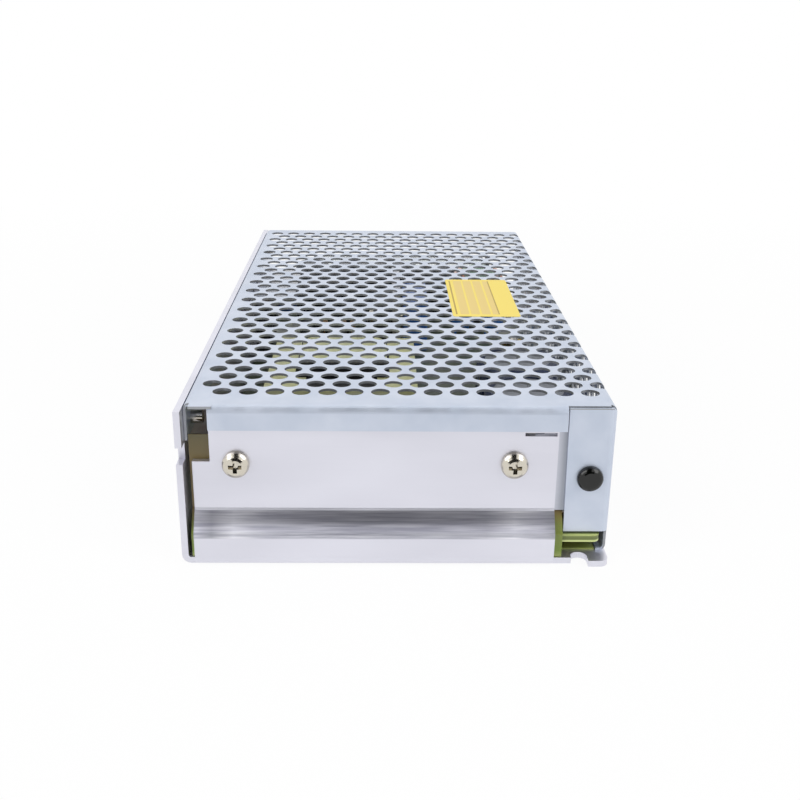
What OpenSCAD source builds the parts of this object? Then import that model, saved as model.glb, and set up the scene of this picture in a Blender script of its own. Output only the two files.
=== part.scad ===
// Switching power supply in a perforated metal case.
// A folded aluminium chassis carries the circuit board; a folded perforated steel cover closes it.
// Frame: +X right, +Y along the case towards the terminals, +Z up. The origin is the centre of the
// underside. All sizes are in millimetres.

/* [Case] */
// Length over the joggled end and the terminal end
case_l = 199; // [197:0.5:240]
// Width over the side wall and the cover
case_w = 98; // [96:0.5:120]
// Height from the underside to the top of the cover
case_h = 38; // [37.5:0.5:46]

/* [Chassis] */
// Thickness of the aluminium sheet
chassis_t = 1.5; // [1.2:0.1:1.8]
// Inside radius of the folds in the aluminium
chassis_bend = 0.6; // [0.3:0.1:1]
// How far the left wall stops below the top of the cover
wall_drop = 0.8; // [0.2:0.1:2]
// Radius of the left wall's rear top corner
wall_corner_r = 5; // [2:0.5:8]
// Height of the notch in the front edge of the left wall
wall_notch_h = 4; // [2:0.5:6]
// Depth of the notch in the front edge of the left wall
wall_notch_d = 3.5; // [1:0.5:5]

/* [End plate] */
// Height of the proud lip at the foot of the end plate
lip_h = 8; // [7:0.5:9]
// Height at which the joggle above the lip ends
joggle_top = 13.1; // [12:0.1:13.8]
// How far the joggle sets the end plate back behind the lip
joggle_d = 3.5; // [2.5:0.1:4]
// Gap between the left wall and the end plate
corner_gap = 1.7; // [1:0.1:3]
// Width of the notch at the end plate's upper left corner
plate_notch_w = 4; // [2:0.5:5]
// Height above the underside at which that notch starts
plate_notch_z = 24.6; // [22:0.1:28]
// Distance from the right side of the case to the end plate's right edge
plate_right_gap = 12.8; // [11.5:0.1:14]
// Height of the wing's lower edge
wing_z = 12.5; // [11:0.5:17]
// Length of the relief slit above the wing
slit_l = 7.2; // [4:0.1:10]
// Width of the relief slit
slit_h = 0.8; // [0.4:0.1:1.5]
// Width of the relief notch in the base's front edge
relief_w = 3.8; // [2:0.1:5]
// Depth of the relief notch
relief_l = 4.2; // [2:0.1:6]
// Distance from the right side of the case to the middle of the notch
relief_right = 6.6; // [5:0.1:8]
// How far the base's edge stands back between the lip and the notch
relief_step = 2; // [0:0.1:3]
// Radius of the base's front right corner
base_corner_r = 2; // [1:0.5:4]

/* [Cover] */
// Thickness of the steel sheet
cover_t = 0.6; // [0.5:0.1:1]
// Inside radius of the folds in the steel
cover_bend = 0.9; // [0.4:0.1:1.1]
// Clearance between the cover's left flange and the left wall
wall_gap = 0.1; // [0.05:0.05:0.3]
// Clearance between the front flange and the end plate
flange_gap = 0.2; // [0.05:0.05:0.4]
// Distance from the cover's rear edge to the case's rear edge
cover_back_gap = 8.7; // [8:0.1:12]
// Height of the front flange
front_flange_h = 5.6; // [4:0.1:6.2]
// Height of the left flange behind the left wall
left_flange_h = 9; // [8:0.5:10]
// Width of the foot that is folded in under the right wall
foot_w = 2.2; // [2:0.1:4]
// Width of the tab folded round from the right wall
tab_w = 10.8; // [10:0.1:11.6]
// Height of the tab's lower edge
tab_z = 7.3; // [7.2:0.1:10]
// How much the tab narrows towards its lower edge
tab_taper = 0.4; // [0:0.1:1]
// How far the tab stops below the top of the cover
tab_drop = 0.3; // [0.1:0.05:0.6]
// Chamfer of the tab's upper outer corner
tab_chamfer = 1; // [0.5:0.1:1.5]
// Seams between the edges of the folded steel
seam = 0.15; // [0.1:0.05:0.3]
// Width of the ears folded in under the circuit board
ear_w = 10; // [9:0.5:12]
// Length of the ears along the case
ear_l = 9; // [8:0.5:14]

/* [Perforation] */
// Diameter of the ventilation holes
hole_d = 4.3; // [3:0.1:4.8]
// Distance between neighbouring holes
hole_pitch = 6; // [5.4:0.1:8]
// Distance from the front flange to the first row of holes
hole_front = 9.9; // [8:0.1:12]
// Least distance from the last row of holes to the rear edge
hole_back = 5; // [4:0.5:10]
// Distance from the right side of the case to the last column of holes
hole_right = 1.7; // [1.6:0.1:3]
// Plain margin of the cover along the left wall
hole_left = 4; // [3:0.5:8]
// Distance from the top of the case to the right wall's first row
hole_top = 3; // [3:0.1:5]
// Least height of a hole's centre in the right wall
hole_low = 7; // [6:0.5:10]

/* [Label] */
// Width of the label on the cover
label_w = 19.2; // [10:0.5:30]
// Length of the label
label_l = 41.5; // [20:0.5:60]
// Thickness of the label
label_t = 0.1; // [0.1:0.05:0.3]
// Distance from the right side of the case to the label
label_right = 13; // [8:0.5:40]
// Distance from the case's front to the label
label_front = 74; // [30:0.5:100]

/* [Mounting holes] */
// Diameter of the tapped mounting holes
mount_d = 3.3; // [2.5:0.1:4.2]
// Pitch of the mounting holes along the case
mount_pitch_y = 150; // [140:1:160]
// Pitch of the mounting holes across the base
mount_pitch_x = 50; // [40:1:55]
// Height of the mounting holes in the left wall
mount_side_z = 19; // [16:0.5:22]

/* [Circuit board] */
// Thickness of the circuit board
board_t = 1.6; // [1:0.1:2]
// Height of the spacers under the board
spacer_h = 3.6; // [3:0.1:5]
// Width of the spacers over their flats
spacer_af = 5.5; // [5:0.1:6]
// Diameter of the spacers' collars in the base
spacer_collar = 4.2; // [3.8:0.1:4.6]
// Clearance between the board and the case's sides
board_gap = 1.4; // [0.8:0.1:2]
// Clearance between the board and the film in front of it
board_front_gap = 0.5; // [0.3:0.1:1]
// Distance from the board to the case's rear edge
board_back_gap = 2; // [1:0.1:3]
// Thickness of the insulating film
film_t = 0.4; // [0.2:0.05:0.5]
// Clearance between the film and the end plate
film_gap = 0.1; // [0.05:0.05:0.3]
// Height of the film's upright flap
film_top = 30.5; // [26:0.5:31]
// How far the flap reaches past the end plate
flap_w = 2; // [1:0.5:3]

/* [Fasteners] */
// Thread diameter of the screws
screw_d = 3; // [2.5:0.1:3.2]
// Diameter of the pan heads
head_d = 6.2; // [5:0.1:6.6]
// Height of the pan heads
head_h = 2.3; // [1.5:0.1:2.6]
// Clearance round a screw in its hole
screw_gap = 0.15; // [0.1:0.05:0.3]
// Height of the end plate's screws above the underside
plate_screw_z = 24.1; // [20:0.1:27]
// Distance from the left side of the case to the first of these screws
plate_screw_left = 13; // [11:0.5:16]
// Distance from the right side of the case to the second of them
plate_screw_right = 22.5; // [20:0.5:26]
// Height of a countersunk head
cone_h = 1.2; // [1:0.1:1.3]
// Distance of the cover's side screws below the top of the case
side_screw_drop = 5.8; // [5:0.1:7]
// Distance from the right side of the case to the black rivet
rivet_right = 5.2; // [4.6:0.1:6]
// Height of the black rivet
rivet_z = 20.8; // [17:0.1:27]
// Diameter of the rivet's head
rivet_head_d = 6; // [5:0.1:7]
// Height of the rivet's head
rivet_head_h = 1.7; // [1:0.1:2]

/* [Terminal block] */
// Number of terminals
ways = 7; // [5:1:7]
// Pitch of the terminals
way_pitch = 9.5; // [8.5:0.1:9.6]
// Thickness of the barriers between them
barrier_t = 1.5; // [1:0.1:2]
// Depth of the block along the case
block_l = 14; // [13:0.1:15]
// Height of the block above the board
block_h = 18; // [16:0.1:19]
// Height of the bays' floors above the board
bay_floor = 5; // [4:0.1:6]
// Thickness of the terminal strips
strip_t = 0.8; // [0.5:0.1:1.2]
// Thickness of the clamping plates
clamp_t = 1; // [0.8:0.1:1.5]
// Depth of the bays
bay_l = 8; // [7.8:0.1:8.4]
// Distance from the block's front to the case's rear edge
block_back_gap = 1.6; // [1.4:0.1:2.4]
// Distance from the left side of the case to the block
block_left = 19.5; // [18:0.5:21]
// Thickness of the hinged cover
lid_t = 1; // [0.8:0.1:1.2]
// Height of the hinged cover's front skirt
lid_skirt = 3.4; // [2:0.1:4]
// Diameter of the hinged cover's pivots
pivot_d = 1.6; // [1.2:0.1:1.8]
// Radial clearance of the pivots
pivot_gap = 0.06; // [0.03:0.01:0.1]

/* [Main transformer] */
// Width of the ferrite core
core_w = 38.5; // [36:0.5:40]
// Length of the ferrite core along the case
core_l = 43; // [40:0.5:45]
// Height of the ferrite core
core_h = 18; // [16:0.5:18.5]
// Length of each yoke
yoke_l = 9.5; // [8:0.5:10]
// Width of the outer legs
leg_w = 7; // [6:0.5:8]
// Width of the middle leg
mid_leg_w = 11; // [10:0.5:12]
// Height of the winding
winding_h = 26; // [24.5:0.5:26.5]
// Clearance between the end plate and the core
core_front = 32; // [28:0.5:34]
// Distance from the left side of the case to the core
core_left = 16; // [14:0.5:17]

/* [Capacitors] */
// Diameter of the two input capacitors
input_cap_d = 22; // [18:0.5:22.5]
// Height of the input capacitors
input_cap_h = 25; // [20:0.5:27]
// Diameter of the output capacitors
output_cap_d = 12.5; // [10:0.5:12.5]
// Height of the output capacitors
output_cap_h = 22; // [16:0.5:25]
// Clearance between the end plate and the first input capacitor
input_front = 15.5; // [13:0.5:16]
// Thickness of the sleeves
sleeve_t = 0.3; // [0.2:0.05:0.5]
// Width of the line capacitor
blue_w = 8.5; // [6:0.5:9]
// Length of the line capacitor
blue_l = 26; // [20:0.5:30]
// Height of the line capacitor
blue_h = 17.5; // [14:0.5:20]
// Least gap between neighbouring parts on the board
part_gap = 1.2; // [0.6:0.1:1.5]

/* [Wound parts] */
// Diameter of the winding wire on the chokes
wire_d = 1.2; // [0.8:0.1:1.4]
// Outside diameter of the output choke
choke_od = 27; // [24:0.5:28]
// Bore of the output choke's core
choke_bore = 14; // [12:0.5:16]
// Height of the output choke's core
choke_h = 11; // [8:0.5:13]
// Outside diameter of the line choke
line_od = 22; // [18:0.5:23]
// Bore of the line choke's core
line_bore = 12; // [10:0.5:13]
// Width of the line choke's core
line_l = 8; // [6:0.5:9]
// Width of the driver transformer
driver_w = 15; // [14:0.5:16]
// Height of the driver transformer
driver_h = 14; // [13:0.5:16]
// Length of the driver transformer
driver_l = 14; // [13:0.5:15]

/* [Heat sinks] */
// Thickness of the bar behind the end plate
bar_t = 4; // [3:0.5:5]
// Height of the bar's lower edge
bar_low = 14; // [13:0.5:16]
// Distance from the bar to the top of the case
bar_drop = 4; // [3:0.5:6]
// Thickness of the rectifiers' heat sink
sink_t = 2; // [1.5:0.5:3]
// Width of its upper flange
sink_w = 15; // [12:0.5:16]
// Length of the rectifiers' heat sink
sink_l = 42; // [40:1:46]
// Thickness of the bridge's heat sink
bridge_plate_t = 2.6; // [2:0.1:3]
// Length of the bridge's heat sink
bridge_plate_l = 40; // [36:1:44]
// Height of the bridge's heat sink
bridge_plate_h = 23.5; // [20:0.5:25]

/* [Fuse] */
// Diameter of the fuse
fuse_d = 5.2; // [5:0.1:6.3]
// Length of the fuse
fuse_l = 20; // [18:0.5:24]
// Length of the fuse's end caps
fuse_cap_l = 5; // [4:0.5:6]

/* [Controls] */
// Width of the adjuster's body
trimmer_w = 9.4; // [8:0.1:10]
// Height of the adjuster's body
trimmer_h = 5; // [4:0.5:7]
// Diameter of the adjusting rotor
rotor_d = 5; // [4:0.1:5.6]
// Travel of the voltage selector
selector_travel = 4; // [3:0.1:4.5]
// Width of the selector's body along the case
selector_l = 20; // [19:0.5:24]
// Height of the selector's body
selector_h = 11; // [10:0.5:13]

/* [Hidden] */

$fn = 40;
// Facets of a fold and of a quarter circle in a section, and how far a cut passes the faces it opens
fold_steps = 5;
arc_steps = 6;
over = 1;

// Case faces
x_left = -case_w / 2;
x_right = case_w / 2;
y_front = -case_l / 2;
y_back = case_l / 2;
wall_in = x_left + chassis_t;
wall_h = case_h - wall_drop;
wall_y0 = y_front + chassis_t;

// End plate
plate_y = y_front + joggle_d;
plate_in = plate_y + chassis_t;
plate_top = case_h - cover_t - cover_bend - seam;
plate_x0 = wall_in + corner_gap;
plate_x1 = x_right - plate_right_gap;
notch_x = plate_x0 + plate_notch_w;
joggle_turn = atan(joggle_d / (joggle_top - lip_h));
base_lap = 8;
wing_lap = 3;
slit_inset = 0.4;
slit_x0 = plate_x1 - slit_inset - slit_l;
slit_drop = 0.6;
slit_z = case_h - front_flange_h - slit_h - slit_drop;

// Cover
cover_y0 = plate_y - flange_gap - cover_t;
cover_y1 = y_back - cover_back_gap;
cover_x0 = wall_in + wall_gap;
cover_r = cover_bend + cover_t;
cover_in = x_right - cover_t;
tab_y = plate_y;
tab_x0 = x_right - tab_w;
tab_top = case_h - tab_drop;
panel_y0 = tab_y + cover_t + seam;
corner_y = tab_y + cover_r + seam;
flange_x1 = tab_x0 - 2 * seam;
wing_y = tab_y + cover_t;
wing_x1 = x_right - cover_r - seam;
row_pitch = hole_pitch * sin(60);
rows = 1 + floor((cover_y1 - hole_back - cover_y0 - hole_front) / row_pitch);
hole_x1 = x_right - hole_right;
columns = 1 + floor((hole_x1 - cover_x0 - hole_left) / hole_pitch);
wall_holes = 1 + floor((case_h - hole_top - hole_low) / hole_pitch);
hole_depth = cover_r + 2 * seam;
window_edge = 0.8;
ear_front = 42;
ear_back = 34;
ear_y = [cover_y0 + ear_front, cover_y1 - ear_back];
ear_inset = 6.4;
ear_screw_x = x_right - ear_inset;
side_screw_front = 9;
side_screw_back = 11;
side_screw_y = [cover_y0 + side_screw_front, cover_y1 - side_screw_back];
side_screw_z = case_h - side_screw_drop;
screw_play = 0.05;
side_screw_l = 4.8;
tail_l = 1.2;

// Film and board
film_z = chassis_t + film_t;
film_turn = (chassis_t + film_gap) * tan(joggle_turn / 2);
film_edge = 0.9;
film_x0 = wall_in + film_edge;
film_x1 = x_right - foot_w - seam * 2;
film_cut = 0.4;
film_clear = 1;
flap_x1 = plate_x1 + flap_w;
flap_y = plate_in + film_gap;
flap_low_y = y_front + chassis_t + film_gap;
board_z0 = chassis_t + spacer_h;
board_top = board_z0 + board_t;
board_x0 = wall_in + board_gap;
board_x1 = cover_in - board_gap;
board_y0 = flap_low_y + film_t + board_front_gap;
board_y1 = y_back - board_back_gap;
board_r = 1.5;
film_back = 24;
film_y1 = board_y1 - film_back;
spacer_edge = 5;
spacer_front = 11;
spacer_back = 19;
spacer_mid = [57, 84];
collar_floor = 0.1;
spacer_floor = 0.6;
spacer_at = [[board_x0 + spacer_edge, board_y0 + spacer_front],
             [board_x1 - spacer_edge, board_y0 + spacer_front],
             [board_x0 + spacer_edge, board_y1 - spacer_back],
             [board_x1 - spacer_edge, board_y1 - spacer_back],
             [board_x0 + spacer_mid.x, board_y0 + spacer_mid.y]];
mount_at = [for (x = [-1, 1], y = [-1, 1]) [x * mount_pitch_x / 2, y * mount_pitch_y / 2]];

// Terminal block
block_y1 = y_back - block_back_gap;
block_y0 = block_y1 - block_l;
block_x0 = x_left + block_left;
block_w = ways * way_pitch + barrier_t;
block_x1 = block_x0 + block_w;
block_top = board_top + block_h;
bay_z = board_top + bay_floor;
bay_w = way_pitch - barrier_t;
way_x = [for (i = [0:ways - 1]) block_x0 + barrier_t + bay_w / 2 + i * way_pitch];
clamp_gap = 0.4;
clamp_w = bay_w - 2 * clamp_gap;
strip_gap = 0.3;
clamp_lip = 0.5;
way_y = block_y1 - bay_l / 2;
screw_well = 4;
slot_inset = 2;
slot_l = 2.5;
slot_y = [block_y0 + slot_inset, block_y0 + slot_inset + slot_l];
slot_h = 5;
pivot_inset = 0.9;
pivot_y = block_y1 - bay_l + pivot_inset;
barrel_r = 1.2;
barrel_gap = 0.3;
pivot_z = block_top + barrel_r + barrel_gap;
lid_gap = 0.2;
lid_x0 = block_x0 + barrier_t + lid_gap;
lid_x1 = block_x1 - barrier_t - lid_gap;
lid_y1 = block_y1 + lid_t + lid_gap;
lid_z = pivot_z - barrel_r;
pivot_l = 1.4;
pivot_root = 0.5;
cheek_r = 1.8;
scoop_d = 16;
scoop_h = 2;

// End plate fasteners and the parts clamped to them
plate_screw_x = [x_left + plate_screw_left, x_right - plate_screw_right];
bar_z = [bar_low, case_h - bar_drop];
bar_end = 4.6;
bar_x = [plate_screw_x[0] - bar_end, plate_screw_x[1] + bar_end];
pad_t = 0.3;
pad_edge = 0.8;
tr_w = 10;
tr_body_h = 9.2;
tr_h = 15.4;
tr_t = 4.4;
tr_tab_t = 1.3;
tr_hole_z = 12.6;
tr_hole_d = 3.6;
tr_leg_w = 0.8;
tr_leg_t = 0.6;
tr_leg_pitch = 2.5;
tr_left = 14;
tr_pitch = 17;
tr_at = [plate_screw_x[0] + tr_left, plate_screw_x[0] + tr_left + tr_pitch];
tr_rise = 14;
tr_screw_z = bar_z[0] + tr_rise;
tr_z = tr_screw_z - tr_hole_z;
tr_y = plate_in + bar_t + pad_t;
tr_head_d = 5.6;
tr_head_h = 1.9;

// Main transformer
core_x = [x_left + core_left, x_left + core_left + core_w];
core_mid_x = (core_x[0] + core_x[1]) / 2;
core_y = [plate_in + core_front, plate_in + core_front + core_l];
core_mid_y = (core_y[0] + core_y[1]) / 2;
winding_lift = 0.5;
winding_z = board_top + winding_lift;
winding_r = 3;
core_z = winding_z + (winding_h - core_h) / 2;
core_r = 1;
window_w = (core_w - 2 * leg_w - mid_leg_w) / 2;
coil_gap = 0.4;
leg_play = coil_gap / 4;
tube_t = 0.8;
flange_t = 1.2;
coil_w = mid_leg_w + 2 * window_w - 2 * coil_gap;
coil_y = [core_y[0] + yoke_l + leg_play, core_y[1] - yoke_l - leg_play];
pin_rail = 5;
tape_t = 0.3;
tape_low = 2;
tape_gap = 0.2;
tape_end = 3;

// Column along the right side, from the joggled end to the terminals
column_edge = 2;
column_x1 = board_x1 - column_edge;
column_step = 1;
input_x = column_x1 - input_cap_d / 2 - column_step;
input_y0 = plate_in + input_front + input_cap_d / 2;
input_y = [input_y0, input_y0 + input_cap_d + part_gap];
disc_t = 4.4;
disc_d = 12;
disc_y = input_y[1] + input_cap_d / 2 + part_gap + disc_t / 2;
driver_y = disc_y + disc_t / 2 + part_gap + driver_l / 2;
driver_x = column_x1 - driver_w / 2;
driver_leg = 2.4;
driver_mid = 4.2;
driver_window = (driver_w - 2 * driver_leg - driver_mid) / 2;
driver_core_l = 4.8;
driver_core_z = 2;
driver_play = 0.15;
driver_z = [driver_core_z + driver_leg + driver_play, driver_h - driver_leg - driver_play];
driver_rim = 0.8;
selector_gap = 0.3;
selector_y = driver_y + driver_l / 2 + part_gap + selector_l / 2;
selector_x1 = cover_in - selector_gap;
selector_w = 8;
selector_mid_z = board_top + selector_h / 2;
selector_window = [14, 6.4];
selector_pocket_l = 12.2;
selector_pocket_h = 5.2;
selector_pocket_d = 2.4;
selector_lip = 0.8;
selector_play = 0.1;
selector_base_l = selector_pocket_l - 2 * selector_play - selector_travel;
selector_base_t = 2.2;
selector_nub_l = 4;
selector_nub_h = 3.6;
selector_nub_out = 0.6;
selector_slit = 1;
fuse_y = selector_y + selector_l / 2 + 2 * part_gap + fuse_l / 2;
fuse_edge = 4;
fuse_x = column_x1 - fuse_edge;
fuse_lift = 5.5;
fuse_z = board_top + fuse_lift;
fuse_wall = 0.6;
fuse_cap_t = 0.275;
fuse_over = 0.4;
clip_l = 4;
clip_t = 0.6;
clip_top = 1.8;
clip_bed = 1.6;
clip_play = 0.02;
line_back = 13;
line_y = block_y0 - line_back;
line_edge = 1.4;
line_x = column_x1 - line_od / 2 - line_edge;
line_lift = 1.8;
line_z = board_top + line_od / 2 + line_lift;
line_part = 110;
seat_w = 12;
seat_h = 1.4;
safety_d = 9;
safety_t = 3;
safety_pitch = 11;
safety_back = 12;

// Row in front of the terminals
output_y = block_y0 - 2 * part_gap - output_cap_d / 2;
output_left = 17;
output_x = [for (i = [0:2]) board_x0 + output_left + i * (output_cap_d + 2 * part_gap)];
row_y = output_y - output_cap_d / 2 - part_gap;

// Left side
sink_y = [row_y - sink_l, row_y];
sink_foot = 4;
sink_gap = 0.5;
sink_z = [board_top + sink_foot, case_h - left_flange_h - sink_gap];
sink_r = 0.5;
sink_end = 10;
sink_at = [sink_y[0] + sink_end, sink_y[1] - sink_end];
sink_screw_z = (board_top + sink_z[1] - sink_t - tr_h) / 2 + tr_hole_z;
small_d = 5;
small_h = 11;
small_pitch = 8;
small_x = output_x[0] + column_step;
small_front = 3;
small_y0 = sink_y[0] + small_front;
chip_span = 8.2;
chip_x = small_x + small_d / 2 + 2 * part_gap + chip_span / 2;
chip_y = (sink_y[0] + sink_y[1]) / 2;
chip_w = 6.4;
chip_l = 19.3;
chip_z = [0.6, 3.9];
pin_pitch = 2.54;
pin_w = 1;
pin_t = 0.6;
pin_h = 2.2;
film_cap_edge = 6;
film_cap_pitch = 16;
film_cap_x = board_x0 + film_cap_edge;
film_cap_at = [core_y[0] + film_cap_edge, core_y[0] + film_cap_edge + film_cap_pitch];
film_cap = [5, 12, 9];
plate_cap = [8, 4, 7.5];
plate_cap_at = [bar_x[1] - plate_cap[1] / 2, plate_in + bar_t + plate_cap[1] * 3 / 4];

// Middle column, halfway between the control chip and the line choke
bridge_w = 6.4;
bridge_l = 22;
bridge_h = 15;
bridge_lift = 4;
bridge_leg = 1.2;
bridge_leg_pitch = 5;
bridge_group_w = bridge_w + bridge_plate_t + part_gap + blue_w;
bridge_x0 = (chip_x + chip_span / 2 + line_x - line_od / 2 - bridge_group_w) / 2;
bridge_plate_x = [bridge_x0 + bridge_w, bridge_x0 + bridge_w + bridge_plate_t];
bridge_back = 2.5;
bridge_plate_y = [row_y - bridge_back - bridge_plate_l, row_y - bridge_back];
bridge_end = 3;
bridge_mid_y = bridge_plate_y[0] + bridge_end + bridge_l / 2;
bridge_z = board_top + bridge_lift;
blue_x = bridge_plate_x[1] + part_gap;
blue_y = bridge_plate_y[1] - blue_l;
blue_r = 0.6;
choke_shift = 2;
choke_gap = 3;
choke_x = core_mid_x - choke_shift;
choke_y = core_y[1] + choke_gap + choke_od / 2;
choke_lift = 0.5;
choke_part = 320;

// Small parts with two wires
lead_d = 0.7;
lead_end = 1.2;
chip_row = [2.3, 6.5];
chip_row_pitch = 3.4;
chip_row_back = 5.5;
chip_row_y = sink_y[1] - chip_row_back;
mid_row_pitch = 5;
mid_row_x = (core_x[1] + input_x - input_cap_d / 2) / 2;
mid_row_n = floor((input_x - input_cap_d / 2 - core_x[1]) / mid_row_pitch);
load_resistor = [3.6, 9];
load_row_front = 8;
load_row_y = core_y[0] + load_row_front;
diode_size = [2.7, 5.5];
diode_row_front = 26;
diode_row_y = core_y[0] + diode_row_front;

// Adjuster and light
trimmer_edge = 2;
trimmer_x = board_x0 + trimmer_edge + trimmer_w / 2;
trimmer_y = board_y1 - trimmer_edge / 2 - trimmer_w / 2;
rotor_h = 1.6;
rotor_gap = 0.15;
rotor_stem_d = 2;
rotor_stem_l = 3;
rotor_slot = 0.8;
led_d = 3;
led_h = 4.5;
led_rim = 0.4;
led_gap = 3;
led_edge = 4;
led_x = block_x0 - led_gap;
led_y = board_y1 - led_edge;

// ---- Shapes that repeat ----

function unit(v) = v / norm(v);
function left_of(v) = [-v.y, v.x];
function spun(v, a) = [v.x * cos(a) - v.y * sin(a), v.x * sin(a) + v.y * cos(a)];
function turn(u, v) = atan2(u.x * v.y - u.y * v.x, u * v);
function arc(c, r, a0, a1, n = arc_steps) =
    [for (i = [0:n]) c + r * [cos(a0 + (a1 - a0) * i / n), sin(a0 + (a1 - a0) * i / n)]];

// Points of one fold at p1: side 0 is the face that the path follows, side 1 the face to its left
function fold(p0, p1, p2, r, t, side) =
    let (u = unit(p1 - p0), v = unit(p2 - p1), a = turn(u, v), s = sign(a),
         near_r = s > 0 ? r + t : r,
         start = p1 - u * near_r * tan(abs(a) / 2),
         centre = start + left_of(u) * s * near_r,
         face_r = near_r - s * side * t)
    [for (i = [0:fold_steps]) centre - left_of(spun(u, a * i / fold_steps)) * s * face_r];

function sheet_face(p, r, t, side) =
    let (n = len(p) - 1)
    concat([p[0] + left_of(unit(p[1] - p[0])) * t * side],
           [for (i = [1:n - 1]) each fold(p[i - 1], p[i], p[i + 1], r, t, side)],
           [p[n] + left_of(unit(p[n] - p[n - 1])) * t * side]);

// Section of a folded sheet whose first face follows the path, with the sheet on the path's left
function sheet(p, r, t) =
    let (near = sheet_face(p, r, t, 0), far = sheet_face(p, r, t, 1))
    concat(near, [for (i = [len(far) - 1:-1:0]) far[i]]);

function rounded(x0, y0, x1, y1, r) =
    concat(arc([x1 - r, y1 - r], r, 0, 90), arc([x0 + r, y1 - r], r, 90, 180),
           arc([x0 + r, y0 + r], r, 180, 270), arc([x1 - r, y0 + r], r, 270, 360));

// Rounded rectangle about the origin
function pad(w, l, r) = rounded(-w / 2, -l / 2, w / 2, l / 2, r);

module along_x(x0, x1) translate([x0, 0, 0]) rotate([90, 0, 90]) linear_extrude(x1 - x0) children();
module along_y(y0, y1) translate([0, y1, 0]) rotate([90, 0, 0]) linear_extrude(y1 - y0) children();
module along_z(z0, z1) translate([0, 0, z0]) linear_extrude(z1 - z0) children();

// A block between two corners
module block(lo, hi) translate(lo) cube(hi - lo);

// Rods that start at p and run along an axis
module rod_x(p, d, l) translate(p) rotate([0, 90, 0]) cylinder(d = d, h = l);
module rod_y(p, d, l) translate(p) rotate([-90, 0, 0]) cylinder(d = d, h = l);
module rod_z(p, d, l) translate(p) cylinder(d = d, h = l);

// Holes through a wall of thickness t that starts at p
module bore_x(p, d, t) rod_x(p - [over, 0, 0], d, t + 2 * over);
module bore_y(p, d, t) rod_y(p - [0, over, 0], d, t + 2 * over);
module bore_z(p, d, t) rod_z(p - [0, 0, over], d, t + 2 * over);

// Two slots that cross, from z0 up to z1
module cross(l, w, z0, z1)
    for (a = [0, 90])
        rotate([0, 0, a]) block([-l / 2, -w / 2, z0], [l / 2, w / 2, z1]);

// Pan head screw along Z: the head stands on z = 0 and the shank hangs below it
module pan_screw(l, d = screw_d, hd = head_d, hh = head_h) {
    rim = 0.35 * hh;
    recess_l = 0.48 * hd;
    recess_w = 0.15 * hd;
    recess_z = 0.25 * hh;
    difference() {
        rotate_extrude()
            polygon(concat([[0, -l], [d / 2, -l], [d / 2, 0], [hd / 2, 0]],
                           [for (i = [0:arc_steps]) [hd / 2 * cos(90 * i / arc_steps),
                                                     rim + (hh - rim) * sin(90 * i / arc_steps)]]));
        cross(recess_l, recess_w, recess_z, hh + over);
    }
}

// Countersunk screw along Z: its flat top is at z = 0
module flat_screw(l, d = screw_d) {
    hd = d + 2 * cone_h;
    recess_l = 0.6 * hd;
    recess_w = 0.15 * hd;
    recess_z = 0.7 * cone_h;
    difference() {
        rotate_extrude()
            polygon([[0, -l], [d / 2, -l], [d / 2, -cone_h], [hd / 2, 0], [0, 0]]);
        cross(recess_l, recess_w, -recess_z, over);
    }
}

// Countersink for a flat screw that starts at z = 0 and goes down
module countersink(l, d = screw_d) {
    r = d / 2 + screw_gap;
    rotate_extrude()
        polygon([[0, -l], [r, -l], [r, -cone_h], [r + cone_h, 0], [r + cone_h, over], [0, over]]);
}

// Electrolytic capacitor's aluminium can, standing on z = 0, with a crimp near its foot
module can(d, h) {
    r = d / 2 - sleeve_t - screw_play;
    crimp = 0.8;
    crimp_z = 2;
    rim = 1;
    score_l = 1.2 * r;
    score_w = 0.4;
    score_d = 0.3;
    difference() {
        rotate_extrude()
            polygon(concat([[0, 0], [r, 0], [r, crimp_z], [r - crimp, crimp_z + crimp],
                            [r, crimp_z + 2 * crimp]],
                           arc([r - rim, h - rim], rim, 0, 90), [[0, h]]));
        cross(score_l, score_w, h - score_d, h + over);
    }
}

// Sleeve shrunk over a can, open at the top with a narrow lip
module can_sleeve(d, h) {
    r = d / 2;
    t = sleeve_t;
    lip = 0.09 * d;
    bevel = 0.6;
    top = h + screw_play;
    rotate_extrude()
        polygon([[r - t, 0], [r, 0], [r, h - bevel], [r - bevel, top + t], [r - t - lip, top + t],
                 [r - t - lip, top], [r - t - bevel, top], [r - t, h - bevel]]);
}

// Transistor with a metal tab whose back lies in the plane y = 0; z = 0 is the body's foot
module transistor(leg_l) {
    leg_y = tr_t / 2;
    difference() {
        union() {
            block([-tr_w / 2, 0, 0], [tr_w / 2, tr_t, tr_body_h]);
            block([-tr_w / 2, 0, 0], [tr_w / 2, tr_tab_t, tr_h]);
            for (x = [-tr_leg_pitch, 0, tr_leg_pitch])
                block([x - tr_leg_w / 2, leg_y, -leg_l], [x + tr_leg_w / 2, leg_y + tr_leg_t, over]);
        }
        bore_y([0, 0, tr_hole_z], tr_hole_d, tr_t);
    }
}

// Disc with two wires, standing across Y on the board
module disc(d, t) {
    bevel = 1;
    lift = 2;
    wire = 0.8;
    translate([0, 0, d / 2 + lift]) rotate([90, 0, 0]) translate([0, 0, -t / 2])
        rotate_extrude() polygon([[0, 0], [d / 2 - bevel, 0], [d / 2, bevel], [d / 2, t - bevel],
                                  [d / 2 - bevel, t], [0, t]]);
    for (x = [-1, 1]) rod_z([x * d / 4, 0, 0], wire, 2 * lift);
}

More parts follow.
